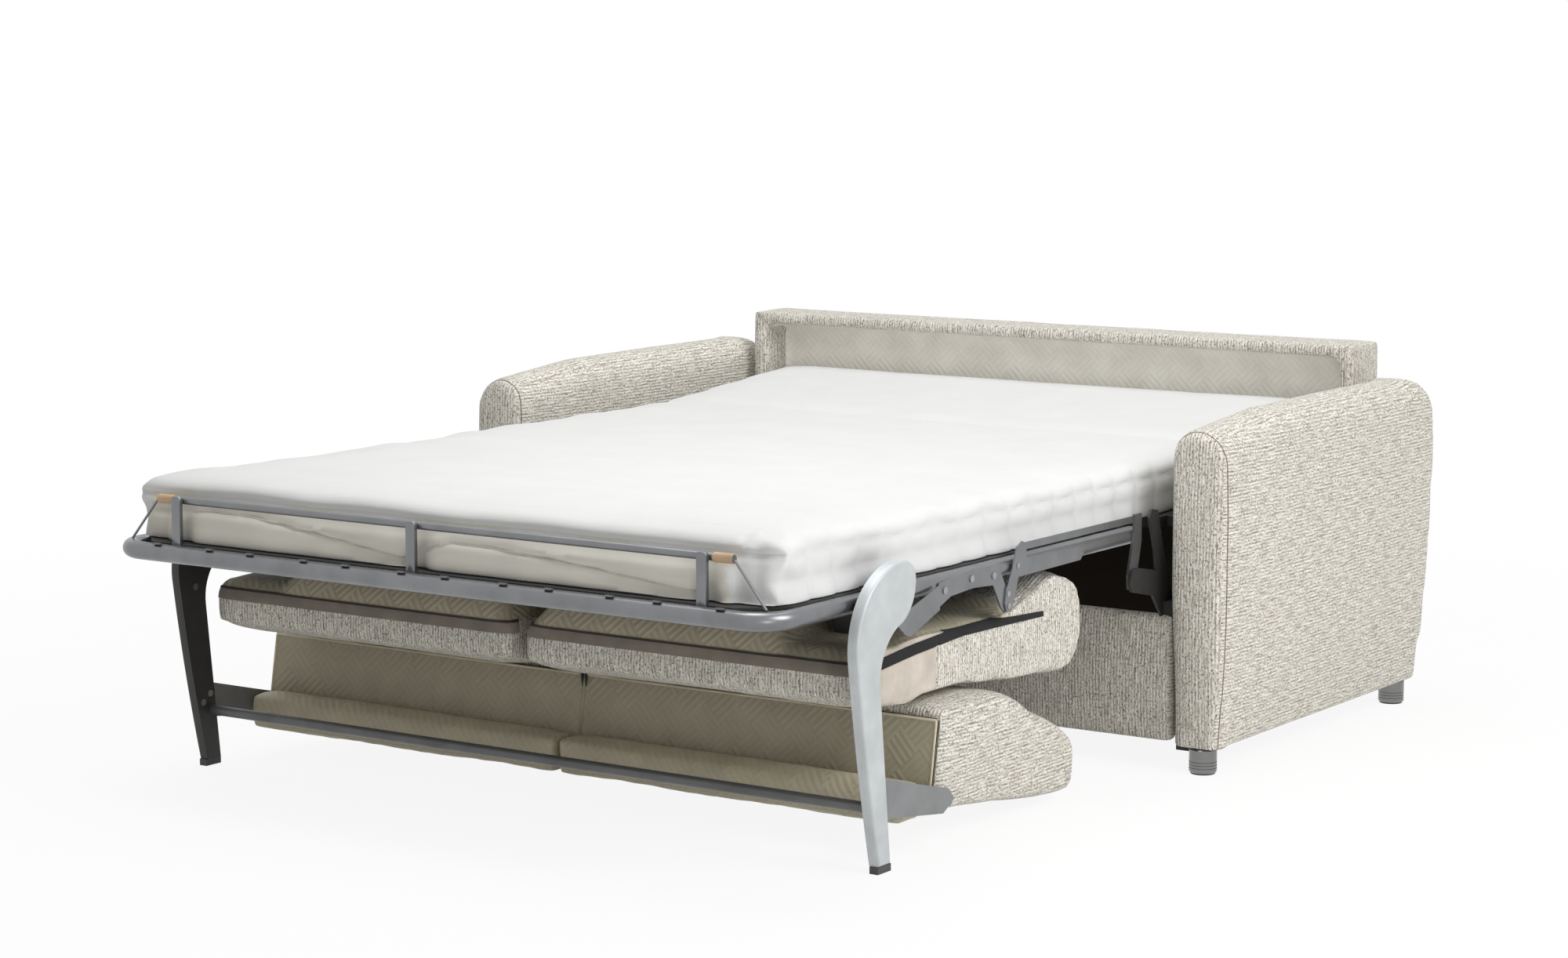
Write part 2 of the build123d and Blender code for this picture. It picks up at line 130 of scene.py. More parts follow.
def length(name, about, value):
    return FloatProperty(
        name=name, description=about, subtype="DISTANCE", unit="LENGTH", min=0, default=value
    )


def power(name, about, value):
    return FloatProperty(name=name, description=about, unit="POWER", min=0, default=value)


class SofaCloth(bpy.types.PropertyGroup):
    pale: colour("Pale yarn", "Lightest yarn of the woven cover", (0.83, 0.81, 0.755))
    warm: colour("Warm yarn", "Middle yarn of the woven cover", (0.555, 0.525, 0.465))
    dark: colour("Dark yarn", "Dark flecks of the woven cover", (0.165, 0.148, 0.125))
    lining: colour("Lining", "Embossed lining under seat and backrest", (0.54, 0.49, 0.36))
    panel: colour("End panel", "Plain cloth on the ends of the seat", (0.62, 0.56, 0.49))
    tape: colour("Zip tape", "Tape along the rear of the seat", (0.27, 0.235, 0.20))
    pitch: length("Rib pitch", "Distance between two ribs of the weave", 0.0062)
    voxel: length("Mesh size", "Mesh size of the padded pieces before subdivision", 0.011)


class SofaMattress(bpy.types.PropertyGroup):
    knit: colour("Knit", "Cover on top and sides of the mattress", (0.745, 0.75, 0.75))
    ticking: colour("Ticking", "Cover of the mattress at the foot end", (0.76, 0.735, 0.665))
    voxel: length("Mesh size", "Mesh size of the mattress before subdivision", 0.013)
    quilt: length("Quilting", "Depth of the quilting on the sides", 0.0085)


class SofaMetal(bpy.types.PropertyGroup):
    tube: colour("Bed tube", "Painted tubes and plates of the fitting", (0.215, 0.22, 0.23))
    leg: colour("Leg", "Painted cover of the bed legs", (0.53, 0.56, 0.575))
    dark: colour("Dark parts", "Inner side of the legs and hidden steel", (0.035, 0.034, 0.033))
    bar: colour("Cross bar", "Bar and blades between the bed legs", (0.12, 0.122, 0.125))
    sleeve: colour("Sleeve", "Sleeves on the ends of the mattress rail", (0.52, 0.36, 0.22))
    edge: length("Edge", "Rounding of pressed and moulded edges", 0.004)


class SofaStage(bpy.types.PropertyGroup):
    floor: colour("Floor", "Colour of the floor", (0.93, 0.93, 0.92))
    key: power("Key light", "Power of the key light", 150)
    top: power("Top light", "Power of the light overhead", 74)
    recess: power("Recess light", "Power of the light on the box", 7)
    side: power("Side light", "Power of the low light from the right", 14)
    fill: FloatProperty(
        name="Fill", description="Strength of the light from all round", subtype="FACTOR", min=0, max=1,
        default=0.38,
    )
    lens: FloatProperty(name="Lens", description="Focal length", subtype="DISTANCE_CAMERA", default=81.18)


class SofaSettings(bpy.types.PropertyGroup):
    cloth: PointerProperty(type=SofaCloth, name="Cloth", description="Cover and lining")
    mattress: PointerProperty(type=SofaMattress, name="Mattress", description="Mattress")
    metal: PointerProperty(type=SofaMetal, name="Fitting", description="Bed fitting and legs")
    stage: PointerProperty(type=SofaStage, name="Stage", description="Floor, light and camera")


def settings():
    return bpy.context.scene.sofa_bed


# Making pieces

def new_piece(name, data):
    piece = bpy.data.objects.new(name, data)
    bpy.context.scene.collection.objects.link(piece)
    return piece


def piece_from(bm, name):
    mesh = bpy.data.meshes.new(name)
    bm.to_mesh(mesh)
    bm.free()
    return new_piece(name, mesh)


def add_box(bm, size, middle):
    made = bmesh.ops.create_cube(bm, size=1)["verts"]
    bmesh.ops.scale(bm, vec=size, verts=made)
    bmesh.ops.translate(bm, vec=middle, verts=made)
    return bm


def bevel(bm, edges, offset, segments, clamp=False):
    bmesh.ops.bevel(
        bm, geom=edges, offset=offset, segments=segments, profile=0.5, affect="EDGES", material=-1,
        clamp_overlap=clamp,
    )


def join(bm, part):
    """Moves the second bmesh into the first."""
    mesh = bpy.data.meshes.new("part")
    part.to_mesh(mesh)
    part.free()
    bm.from_mesh(mesh)
    bpy.data.meshes.remove(mesh)


def cad_mesh(nodes, flat=0.002):
    """A closed bmesh of CAD nodes, with triangles that lie flat to each other merged."""
    bm = bmesh.new()
    for node in nodes:
        bm.from_mesh(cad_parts[node].data)
    bmesh.ops.remove_doubles(bm, verts=bm.verts, dist=1e-5)
    bmesh.ops.dissolve_limit(bm, angle_limit=flat, verts=bm.verts, edges=bm.edges)
    return bm


def evaluated_mesh(piece):
    bpy.context.view_layer.update()
    ready = piece.evaluated_get(bpy.context.evaluated_depsgraph_get())
    return bpy.data.meshes.new_from_object(ready)


def settle(piece):
    """Puts the piece's modifiers into its mesh."""
    mesh = evaluated_mesh(piece)
    piece.modifiers.clear()
    old = piece.data
    piece.data = mesh
    bpy.data.meshes.remove(old)
    mesh.name = piece.name


def remesh(piece, voxel, smooth):
    made = piece.modifiers.new("remesh", "REMESH")
    made.mode = "VOXEL"
    made.voxel_size = voxel
    soft = piece.modifiers.new("soft", "SMOOTH")
    soft.factor = 0.5
    soft.iterations = smooth
    settle(piece)


def refine(piece):
    sub = piece.modifiers.new("refine", "SUBSURF")
    sub.levels = 1
    sub.render_levels = 1
    settle(piece)


def read(items, key, width=3, kind=float):
    out = np.empty(len(items) * width, kind)
    items.foreach_get(key, out)
    return out.reshape(-1, width) if width > 1 else out


def points(piece):
    return read(piece.data.vertices, "co")


def normals(piece):
    return read(piece.data.vertex_normals, "vector")


def put_points(piece, co):
    piece.data.vertices.foreach_set("co", co.ravel())
    piece.data.update()


def push(co, skin, far):
    """Moves points along their normals."""
    co += skin * far[:, None]


def puff(piece, pressure, cap, steps=20):
    """Swells a padded piece with cloth pressure, moving no point further than the cap."""
    rest = points(piece)
    made = piece.modifiers.new("puff", "CLOTH")
    cloth = made.settings
    cloth.quality = 4
    cloth.mass = 0.3
    cloth.tension_stiffness = cloth.compression_stiffness = 25
    cloth.bending_stiffness = 2
    cloth.use_pressure = True
    cloth.uniform_pressure_force = pressure
    cloth.effector_weights.gravity = 0
    made.collision_settings.use_collision = False
    made.point_cache.frame_start = 1
    made.point_cache.frame_end = steps
    for step in range(1, steps + 1):
        bpy.context.scene.frame_set(step)
    settle(piece)
    bpy.context.scene.frame_set(1)
    move = points(piece) - rest
    far = np.linalg.norm(move, axis=1, keepdims=True)
    put_points(piece, rest + move * np.minimum(1, cap / np.maximum(far, 1e-9)))


def ramp(value, low, high):
    """Smooth step from 0 at low to 1 at high."""
    t = np.clip((value - low) / (high - low), 0, 1)
    return t * t * (3 - 2 * t)


def fall(value, low, high):
    """Smooth step from 1 at low to 0 at high."""
    return ramp(-value, -high, -low)


def ridge(value, middle, width):
    return np.exp(-((value - middle) / width) ** 2)


def cloud(co, size, seed):
    """Soft noise between about -1 and 1, the same on every run."""
    a, b, c = size
    return np.array([noise.noise((x / a + seed, y / b - seed, z / c + 2 * seed)) for x, y, z in co])


def smooth_shade(piece, angle=None):
    piece.data.shade_smooth()
    if angle:
        piece.data.set_sharp_from_angle(angle=angle)


def cloth_map(piece, ribs="yzy"):
    """A UV map in metres, laid on by each face's main direction.

    The letters say along which axis u runs, with the ribs, on faces that look along X, Y and Z.
    """
    mesh = piece.data
    layer = mesh.uv_layers.get("cloth") or mesh.uv_layers.new(name="cloth")
    co = points(piece)[read(mesh.loops, "vertex_index", 1, int)]
    main = np.abs(read(mesh.polygons, "normal")).argmax(1)
    side = np.repeat(main, read(mesh.polygons, "loop_total", 1, int))
    uv = np.empty((len(mesh.loops), 2))
    for axis, letter in enumerate(ribs):
        u = "xyz".index(letter)
        pick = side == axis
        uv[pick, 0] = co[pick, u]
        uv[pick, 1] = co[pick, 3 - axis - u]
    layer.data.foreach_set("uv", uv.ravel())


def paint_faces(piece, keys, choose):
    """Gives each face the finish whose place in keys choose(centres, normals) returns."""
    mesh = piece.data
    mesh.materials.clear()
    for key in keys:
        mesh.materials.append(finish_of(key))
    index = choose(read(mesh.polygons, "center"), read(mesh.polygons, "normal")).astype(np.int32)
    mesh.polygons.foreach_set("material_index", index)
    mesh.update()


def dress(piece, key):
    piece.data.materials.clear()
    piece.data.materials.append(finish_of(key))


def mirror_piece(piece):
    """The same piece on the left side of the sofa."""
    bm = bmesh.new()
    bm.from_mesh(piece.data)
    bmesh.ops.scale(bm, vec=(-1, 1, 1), verts=bm.verts)
    bmesh.ops.reverse_faces(bm, faces=bm.faces)
    return piece_from(bm, piece.name.replace("right", "left"))


def bisect(bm, place, direction, clear=False):
    """Cuts along a plane and gives the edges of the cut."""
    found = bmesh.ops.bisect_plane(
        bm, geom=bm.verts[:] + bm.edges[:] + bm.faces[:], dist=1e-6, plane_co=place, plane_no=direction,
        clear_outer=clear,
    )
    return [e for e in found["geom_cut"] if isinstance(e, bmesh.types.BMEdge)]


def cut_loop(piece, place, direction):
    """The points in order round the longest loop where a plane cuts the piece."""
    bm = bmesh.new()
    bm.from_mesh(piece.data)
    loose = dict.fromkeys(bisect(bm, place, direction))
    best = []
    while loose:
        first, last = loose.popitem()[0].verts
        line = [first.co.copy(), last.co.copy()]
        while (step := next((e for e in last.link_edges if e in loose), None)) is not None:
            del loose[step]
            last = step.other_vert(last)
            line.append(last.co.copy())
        best = max(best, line, key=len)
    bm.free()
    if len(best) < 8:
        raise RuntimeError("no seam loop on " + piece.name)
    return best


def welt(lines, radius, name, closed=False):
    """Sewn cord along lines of points, as one mesh."""
    data = bpy.data.curves.new(name, "CURVE")
    data.dimensions = "3D"
    data.bevel_depth = radius
    data.bevel_resolution = 2
    for line in lines:
        kept = line[::2] if closed else line
        spline = data.splines.new("NURBS")
        spline.points.add(len(kept) - 1)
        for spot, place in zip(spline.points, kept):
            spot.co = (*place, 1)
        spline.order_u = 3
        spline.use_cyclic_u = closed
        spline.use_endpoint_u = not closed
        spline.resolution_u = 2
    holder = new_piece(name + ".line", data)
    mesh = evaluated_mesh(holder)
    bpy.data.objects.remove(holder)
    bpy.data.curves.remove(data)
    mesh.name = name
    piece = new_piece(name, mesh)
    smooth_shade(piece)
    return piece


def cut_down(piece, planes, close=True):
    """A bmesh of what is left of the piece: the planes' normals point to what is cut away."""
    bm = bmesh.new()
    bm.from_mesh(piece.data)
    for place, direction in planes:
        rim = bisect(bm, place, direction, True)
        if close:
            bmesh.ops.holes_fill(bm, edges=rim, sides=0)
    return bm


def band(piece, runs, thick, lift, name):
    """A tape cut from the piece's own skin, in one or more runs."""
    bm = bmesh.new()
    for planes in runs:
        join(bm, cut_down(piece, planes, False))
    bmesh.ops.remove_doubles(bm, verts=bm.verts, dist=1e-5)
    bm.normal_update()
    for vert in bm.verts:
        vert.co += vert.normal * lift
    made = piece_from(bm, name)
    skin = made.modifiers.new("skin", "SOLIDIFY")
    skin.thickness = thick
    skin.offset = 1
    settle(made)
    smooth_shade(made, 0.9)
    return made


# Finishes

def times(tint, by):
    return tuple(min(1.0, c * by) for c in tint)


class Layout:
    """A short way to lay out nodes. A value is a constant or a (node, output) pair."""

    def __init__(self, tree):
        self.tree = tree

    def put(self, value, socket):
        if isinstance(value, tuple) and isinstance(value[0], bpy.types.Node):
            self.tree.links.new(value[0].outputs[value[1]], socket)
        else:
            socket.default_value = value

    def add(self, kind, **values):
        node = self.tree.nodes.new(kind)
        for key, value in values.items():
            if hasattr(node, key):
                setattr(node, key, value)
            else:
                self.put(value, node.inputs[key.replace("_", " ")])
        return node

    def maths(self, kind, a, b):
        node = self.add("ShaderNodeMath", operation=kind)
        self.put(a, node.inputs[0])
        self.put(b, node.inputs[1])
        return node, 0

    def blend(self, amount, first, second, end):
        """Mixes two shaders and links the result to the end socket."""
        node = self.add("ShaderNodeMixShader")
        for value, socket in zip((amount, (first, 0), (second, 0)), node.inputs):
            self.put(value, socket)
        self.put((node, 0), end)


class Finish(Layout):
    """The nodes of one material."""

    def __init__(self, name):
        self.material = bpy.data.materials.new(name)
        self.material.use_nodes = True
        super().__init__(self.material.node_tree)
        self.shader = self.tree.nodes["Principled BSDF"]

    def cloth(self):
        return self.add("ShaderNodeUVMap", uv_map="cloth"), "UV"

    def place(self):
        return self.add("ShaderNodeTexCoord"), "Object"

    def scaled(self, source, scale, turn=0.0):
        return self.add("ShaderNodeMapping", Vector=source, Scale=scale, Rotation=(0, 0, turn)), "Vector"

    def noise(self, source, scale=1.0, detail=3.0, roughness=0.55):
        node = self.add("ShaderNodeTexNoise", Vector=source, Scale=scale, Detail=detail, Roughness=roughness)
        return node, "Fac"

    def wave(self, source, way, pitch, distortion, detail, detail_scale=1.0):
        node = self.add(
            "ShaderNodeTexWave", wave_type="BANDS", bands_direction=way, wave_profile="SIN", Vector=source,
            Scale=1 / pitch / WAVE_UNIT, Distortion=distortion, Detail=detail, Detail_Scale=detail_scale,
        )
        return node, "Fac"

    def ramp(self, source, *stops):
        node = self.add("ShaderNodeValToRGB", Fac=source)
        scale = node.color_ramp
        while len(scale.elements) < len(stops):
            scale.elements.new(0.5)
        for element, (spot, tint) in zip(scale.elements, stops):
            element.position = spot
            element.color = (*tint, 1)
        return node, "Color"

    def tone(self, source, tint, low, high, start=0.3, end=0.7):
        """The tint from darker to lighter, or the other way."""
        return self.ramp(source, (start, times(tint, low)), (end, times(tint, high)))

    def mix(self, a, b, amount, mode="MIX"):
        node = self.add("ShaderNodeMix", data_type="RGBA", blend_type=mode)
        for value, into in ((amount, 0), (a, 6), (b, 7)):
            self.put(value, node.inputs[into])
        return node, 2

    def bump(self, source, strength, distance):
        node = self.add("ShaderNodeBump", Height=source, Strength=strength, Distance=distance)
        self.put((node, "Normal"), self.shader.inputs["Normal"])

    def done(self, tint, roughness, **fixed):
        for key, value in dict(Base_Color=tint, Roughness=roughness, **fixed).items():
            self.put(value, self.shader.inputs[key.replace("_", " ")])
        return self.material


def weave_cloth(name):
    """Chunky woven cover: rows of yarn, some dark, with slubs along the ribs."""
    s = settings().cloth
    n = Finish(name)
    cloth = n.cloth()
    ribs = n.wave(cloth, "Y", s.pitch, 2.2, 2, 1.6)
    yarn = n.noise(n.scaled(cloth, (105, 270, 1)), 1.0, 4.0, 0.72)
    slub = n.noise(n.scaled(cloth, (27, 270, 1)), 1.0, 3.0, 0.6)
    fleck = n.noise(n.scaled(cloth, (210, 330, 1)), 1.0, 2.0, 0.6)
    haze = n.noise(n.scaled(cloth, (16, 42, 1)))
    spun = n.mix(n.mix(yarn, slub, 0.50), ribs, 0.09)
    tint = n.ramp(
        spun, (0.32, times(s.warm, 0.34)), (0.41, times(s.warm, 0.72)), (0.49, times(s.warm, 1.20)),
        (0.57, times(s.pale, 1.04)), (0.70, times(s.pale, 1.17)),
    )
    flecked = n.mix(tint, (*s.dark, 1), n.ramp(fleck, (0.36, WHITE), (0.45, BLACK)))
    shade = n.ramp(haze, (0.30, (0.95, 0.945, 0.935)), (0.72, WHITE))
    n.bump(n.mix(ribs, yarn, 0.5), 0.6, 0.0016)
    body = n.mix(flecked, shade, 1.0, "MULTIPLY")
    return n.done(body, 0.92, Sheen_Weight=0.18, Sheen_Roughness=0.5, Specular_IOR_Level=0.2)


def lining_cloth(name, tint, relief=1.0, cell=0.046, line=0.0115):
    """Satin lining with a diagonal basket pattern pressed into it."""
    n = Finish(name)
    cloth = n.cloth()
    turned = n.scaled(cloth, WHITE, math.radians(45))
    cells = n.add(
        "ShaderNodeTexChecker", Vector=turned, Scale=1 / cell, Color1=(*WHITE, 1), Color2=(*BLACK, 1)
    )
    lines = [n.wave(turned, way, line, 0.4, 0) for way in "XY"]
    basket = n.mix(*lines, (cells, "Fac"))
    tone = n.tone(n.noise(cloth, 14.0, 4.0), tint, 0.90, 1.05)
    pressed = n.ramp(basket, (0.0, (0.90, 0.895, 0.88)), (0.6, WHITE))
    n.bump(basket, 0.5 * relief, 0.0016)
    body = n.mix(tone, pressed, 0.55 * relief, "MULTIPLY")
    return n.done(body, 0.52, Sheen_Weight=0.12, Specular_IOR_Level=0.4)


def knit_cloth(name, tint, rib=0.021, fleck=0.02):
    """Fine stretch knit with faint ribs across the bed."""
    n = Finish(name)
    place = n.place()
    ribs = n.wave(place, "Y", rib, 1.6, 2, 3)
    fine = n.noise(place, 420.0, 4.0, 0.7)
    tone = n.tone(n.noise(place, 9.0), tint, 1 - fleck, 1.02)
    grain = n.ramp(fine, (0.3, (0.95, 0.95, 0.945)), (0.7, WHITE))
    n.bump(n.mix(ribs, fine, 0.45), 0.22, 0.0012)
    body = n.mix(tone, grain, 0.8, "MULTIPLY")
    return n.done(body, 0.88, Sheen_Weight=0.1, Specular_IOR_Level=0.2)


def plain_cloth(name, tint, scale=900.0):
    """Tight plain-woven tape or cloth."""
    n = Finish(name)
    place = n.place()
    fine = n.noise(place, scale, 2.0, 0.6)
    tone = n.tone(n.noise(place, 20.0), tint, 0.85, 1.15)
    n.bump(fine, 0.35, 0.0006)
    body = n.mix(tone, n.tone(fine, WHITE, 0.82, 1, 0.35, 0.65), 0.7, "MULTIPLY")
    return n.done(body, 0.8, Sheen_Weight=0.08, Specular_IOR_Level=0.25)


def painted_steel(name, tint, metallic, rough, scale=60.0):
    """Satin powder paint with a light orange peel and rubbed patches."""
    n = Finish(name)
    place = n.place()
    patch = n.noise(place, scale * 0.25, 4.0)
    n.bump(n.noise(place, scale * 22, 2.0), 0.06, 0.0005)
    tone = n.tone(patch, tint, 0.88, 1.10, 0.3, 0.72)
    gloss = n.tone(patch, (rough,) * 3, 1.15, 0.85)
    return n.done(tone, gloss, Metallic=metallic, Specular_IOR_Level=0.5)


def moulded(name, tint, rough, scale=240.0):
    """Moulded plastic, rubber or board with a fine grain."""
    n = Finish(name)
    place = n.place()
    grain = n.noise(place, scale, 4.0, 0.6)
    n.bump(grain, 0.15, 0.0006)
    tone = n.tone(n.noise(place, 16.0), tint, 0.8, 1.2)
    return n.done(tone, n.tone(grain, (rough,) * 3, 1.1, 0.9), Specular_IOR_Level=0.4)


MADE = {}


def finish_of(key):
    """The finish with that name, made the first time it is asked for."""
    if key not in MADE:
        s = settings()
        cloth, mattress, metal = s.cloth, s.mattress, s.metal
        makers = {
            "weave": (weave_cloth, "woven cover"),
            "lining": (lining_cloth, "embossed lining", cloth.lining),
            # the panel's lining is the same cloth as the rolls, painted darker as painted shade under the
            # seat
            "lining_in_painted_shade": (lining_cloth, "embossed panel lining", times(cloth.lining, 0.72)),
            "recess": (lining_cloth, "recess lining", (0.96, 0.93, 0.86), 0.8),
            "panel": (plain_cloth, "seat end panel", cloth.panel),
            "tape": (plain_cloth, "zip tape", cloth.tape),
            "binding": (plain_cloth, "black binding", (0.012, 0.012, 0.013)),
            "zip": (plain_cloth, "zip", (0.060, 0.052, 0.046)),
            "seam": (plain_cloth, "sewn seam", (0.25, 0.215, 0.185)),
            "piping": (plain_cloth, "mattress piping", times(mattress.ticking, 0.80)),
            "cord": (plain_cloth, "lining piping", times(cloth.lining, 1.25)),
            "fold": (plain_cloth, "lining seam", times(cloth.lining, 0.75)),
            "net": (plain_cloth, "bed net", (0.05, 0.05, 0.052), 260.0),
            # near-black cloth inside the sofa: partly the real cover cloth, partly painted shade of the
            # cavity under the seat
            "dust": (plain_cloth, "inner dust cloth", (0.034, 0.024, 0.017), 500.0),
            "knit": (knit_cloth, "white knit", mattress.knit),
            "ticking": (knit_cloth, "cream ticking", mattress.ticking, 0.03, 0.06),
            "tube": (painted_steel, "satin silver paint", metal.tube, 0.85, 0.30),
            "leg": (painted_steel, "blue-grey paint", metal.leg, 0.25, 0.42),
            "bar": (painted_steel, "grey paint", metal.bar, 0.35, 0.45),
            "blade": (painted_steel, "blade paint", times(metal.bar, 1.9), 0.35, 0.45),
            # near-black paint of the fitting; on the side plates it is partly painted shade of the gap they
            # sit in
            "hidden": (painted_steel, "dark paint", metal.dark, 0.3, 0.5),
            "bolt": (painted_steel, "zinc plate", (0.36, 0.36, 0.37), 0.85, 0.35, 200.0),
            "chrome": (painted_steel, "polished chrome", (0.235, 0.235, 0.23), 0.95, 0.20, 30.0),
            "clip": (painted_steel, "net clip", (0.16, 0.16, 0.165), 0.5, 0.45),
            "leg_dark": (moulded, "dark leg side", metal.dark, 0.5),
            "tip": (moulded, "leg tip", (0.075, 0.075, 0.08), 0.6),
            "sleeve": (moulded, "tan sleeve", metal.sleeve, 0.45, 90.0),
            # very dark board: its darkness is partly painted shade of the cavity
            "board": (moulded, "brown board", (0.055, 0.038, 0.027), 0.7, 60.0),
        }
        maker, *values = makers[key]
        MADE[key] = maker(*values)
    return MADE[key]


def finish_node(key, *nodes):
    for node in nodes:
        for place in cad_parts[node].material_slots:
            place.material = finish_of(key)


def seat_in(piece, body, nodes=()):
    """Ties a finished piece to its body and hides the CAD nodes it stands for."""
    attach(piece, body)
    if nodes:
        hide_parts(*nodes)
    return piece


# Sofa

def fill_corner(co, y_end, z_end, wide, tight):
    """Pads a rounded upper rear corner out from one radius to a smaller one."""
    dy = np.maximum(co[:, 1] - (y_end - wide), 0)
    dz = np.maximum(co[:, 2] - (z_end - wide), 0)
    reach = np.maximum(np.hypot(dy, dz), 1e-9)
    c, s = dy / reach, dz / reach
    side = wide - tight
    most, least = np.maximum(np.maximum(c, s), 1e-9), np.minimum(c, s)
    under_root = np.maximum((side * (c + s)) ** 2 - 2 * side ** 2 + tight ** 2, 0)
    to_skin = np.where(wide * least <= side * most, wide / most, side * (c + s) + np.sqrt(under_root))
    more = (to_skin / wide - 1) * np.clip(reach / wide, 0, 1) * ((dy > 0) & (dz > 0))
    co[:, 1] += dy * more
    co[:, 2] += dz * more


def shape_arm(co, low, high):
    """Top line, full front panel, soft sides and straight hem of the right arm."""
    x, y, z = co.T
    mid_x = (low.x + high.x) / 2
    fill_corner(co, high.y, high.z, ARM_ROUND, ARM_PADDED_ROUND)
    front = fall(y, low.y, low.y + 0.30)
    along = np.clip((y - low.y) / (high.y - low.y), 0, 1)
    z += ramp(z, 0.30, 0.60) * np.interp(y, ARM_TOP_Y, ARM_TOP_RISE)
    face = fall(y, low.y, low.y + 0.05)
    swell = np.clip(1 - ((x - mid_x) / 0.062) ** 2, 0, 1) * np.clip(1 - ((z - 0.33) / 0.31) ** 2, 0, 1)
    y -= 0.009 * face * swell
    inner = ramp(mid_x - x, 0, 0.05)
    x += 0.010 * inner * front * fall(z, 0.10, 0.36)
    outer = ramp(x - mid_x, 0, 0.05)
    x += 0.004 * outer * np.sin(along * math.pi) * ramp(z, 0.06, 0.25)
    x += 0.0015 * outer * cloud(co, (0.2, 0.16, 0.16), 3.1)
    hem = fall(z, low.z + 0.012, low.z + 0.035) * fall(y, low.y + 0.03, low.y + 0.06)
    z -= 0.85 * (z - low.z) * hem


class SOFABED_OT_arms(bpy.types.Operator):
    """Two upholstered arms with a sewn front panel"""
    bl_idname = "sofabed.arms"
    bl_label = "Arms"

    def execute(self, context):
        low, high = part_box("arm_right")
        arm = piece_from(cad_mesh(["arm_right"]), "arm_cover_right")
        remesh(arm, settings().cloth.voxel * 0.9, 6)
        co = points(arm)
        shape_arm(co, low, high)
        put_points(arm, co)
        refine(arm)
        co, skin = points(arm), normals(arm)
        seam_y = low.y + ARM_SEAM
        push(co, skin, -0.0030 * ridge(co[:, 1], seam_y, 0.0045) * (1 - np.abs(skin[:, 1])))
        put_points(arm, co)

        # inner faces of the arms below the seat get the near-black cloth, partly painted shade of the cavity
        def inner_side(mid, n):
            hidden = (mid[:, 2] > 0.08) & (mid[:, 2] < 0.47) & (mid[:, 1] > low.y + 0.06)
            return (n[:, 0] * mid[:, 0] < -0.4) & hidden

        seams = []
        for piece, node in ((arm, "arm_right"), (mirror_piece(arm), "arm_left")):
            smooth_shade(piece)
            paint_faces(piece, ("weave", "dust"), inner_side)
            cloth_map(piece)
            seams.append(cut_loop(piece, (0, seam_y, 0), (0, 1, 0)))
            seat_in(piece, "carcass", (node,))
        cord = welt(seams, 0.0013, "arm_seams", True)
        dress(cord, "seam")
        seat_in(cord, "carcass", ("arm_welts",))
        return {"FINISHED"}


class SOFABED_OT_back_box(bpy.types.Operator):
    """Upholstered back box with a lined recess"""
    bl_idname = "sofabed.back_box"
    bl_label = "Back box"

    def execute(self, context):
        nodes = ("back_posts", "back_top", "back_panel")
        box = piece_from(cad_mesh(nodes), "back_box_cover")
        remesh(box, settings().cloth.voxel * 0.95, 4)
        refine(box)
        top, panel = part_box("back_top")[1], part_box("back_panel")[1]
        inner, under = panel.x, panel.z
        wide, high = top.x - inner, top.z - under
        co, skin = points(box), normals(box)
        y, z, off = co[:, 1], co[:, 2], np.abs(co[:, 0])
        # mitred seam on the front corners
        front = ramp(-skin[:, 1], 0.3, 0.8) * fall(y, BOX_FRONT, BOX_FRONT + 0.03)
        mitre = ((top.x - off) * high - (top.z - z) * wide) / math.hypot(high, wide)
        near = ridge(mitre, 0, 0.004) * front * (z > under - 0.004) * (off > inner - 0.004)
        push(co, skin, -0.0035 * near)
        outside = (np.abs(co[:, 0]) > inner + 0.004) | (z > under + 0.004) | (y > 1.02)
        push(co, skin, 0.0016 * outside * cloud(co, (0.12, 0.1, 0.09), 1.7))
        put_points(box, co)
        smooth_shade(box)

        def choose(mid, n):
            off, y, z = np.abs(mid[:, 0]), mid[:, 1], mid[:, 2]
            lined = (off < inner + 0.003) & (z < under + 0.003) & (y > BOX_FRONT + 0.014) & (y < 1.012)
            posts = (off > inner - 0.006) & (y < 1.0)
            # the inside below BOX_LINED_TO gets the near-black cloth, partly painted shade of the cavity
            inside = (z < BOX_LINED_TO) & (n[:, 1] < 0.5) & (y < 1.014)
            return np.where(inside, 2, lined & ~posts)

        paint_faces(box, ("weave", "recess", "dust"), choose)
        cloth_map(box, "zzy")
        seat_in(box, "carcass", nodes)
        # the spacers get the near-black board, partly painted shade of the cavity
        finish_node("board", "box_spacers")
        return {"FINISHED"}


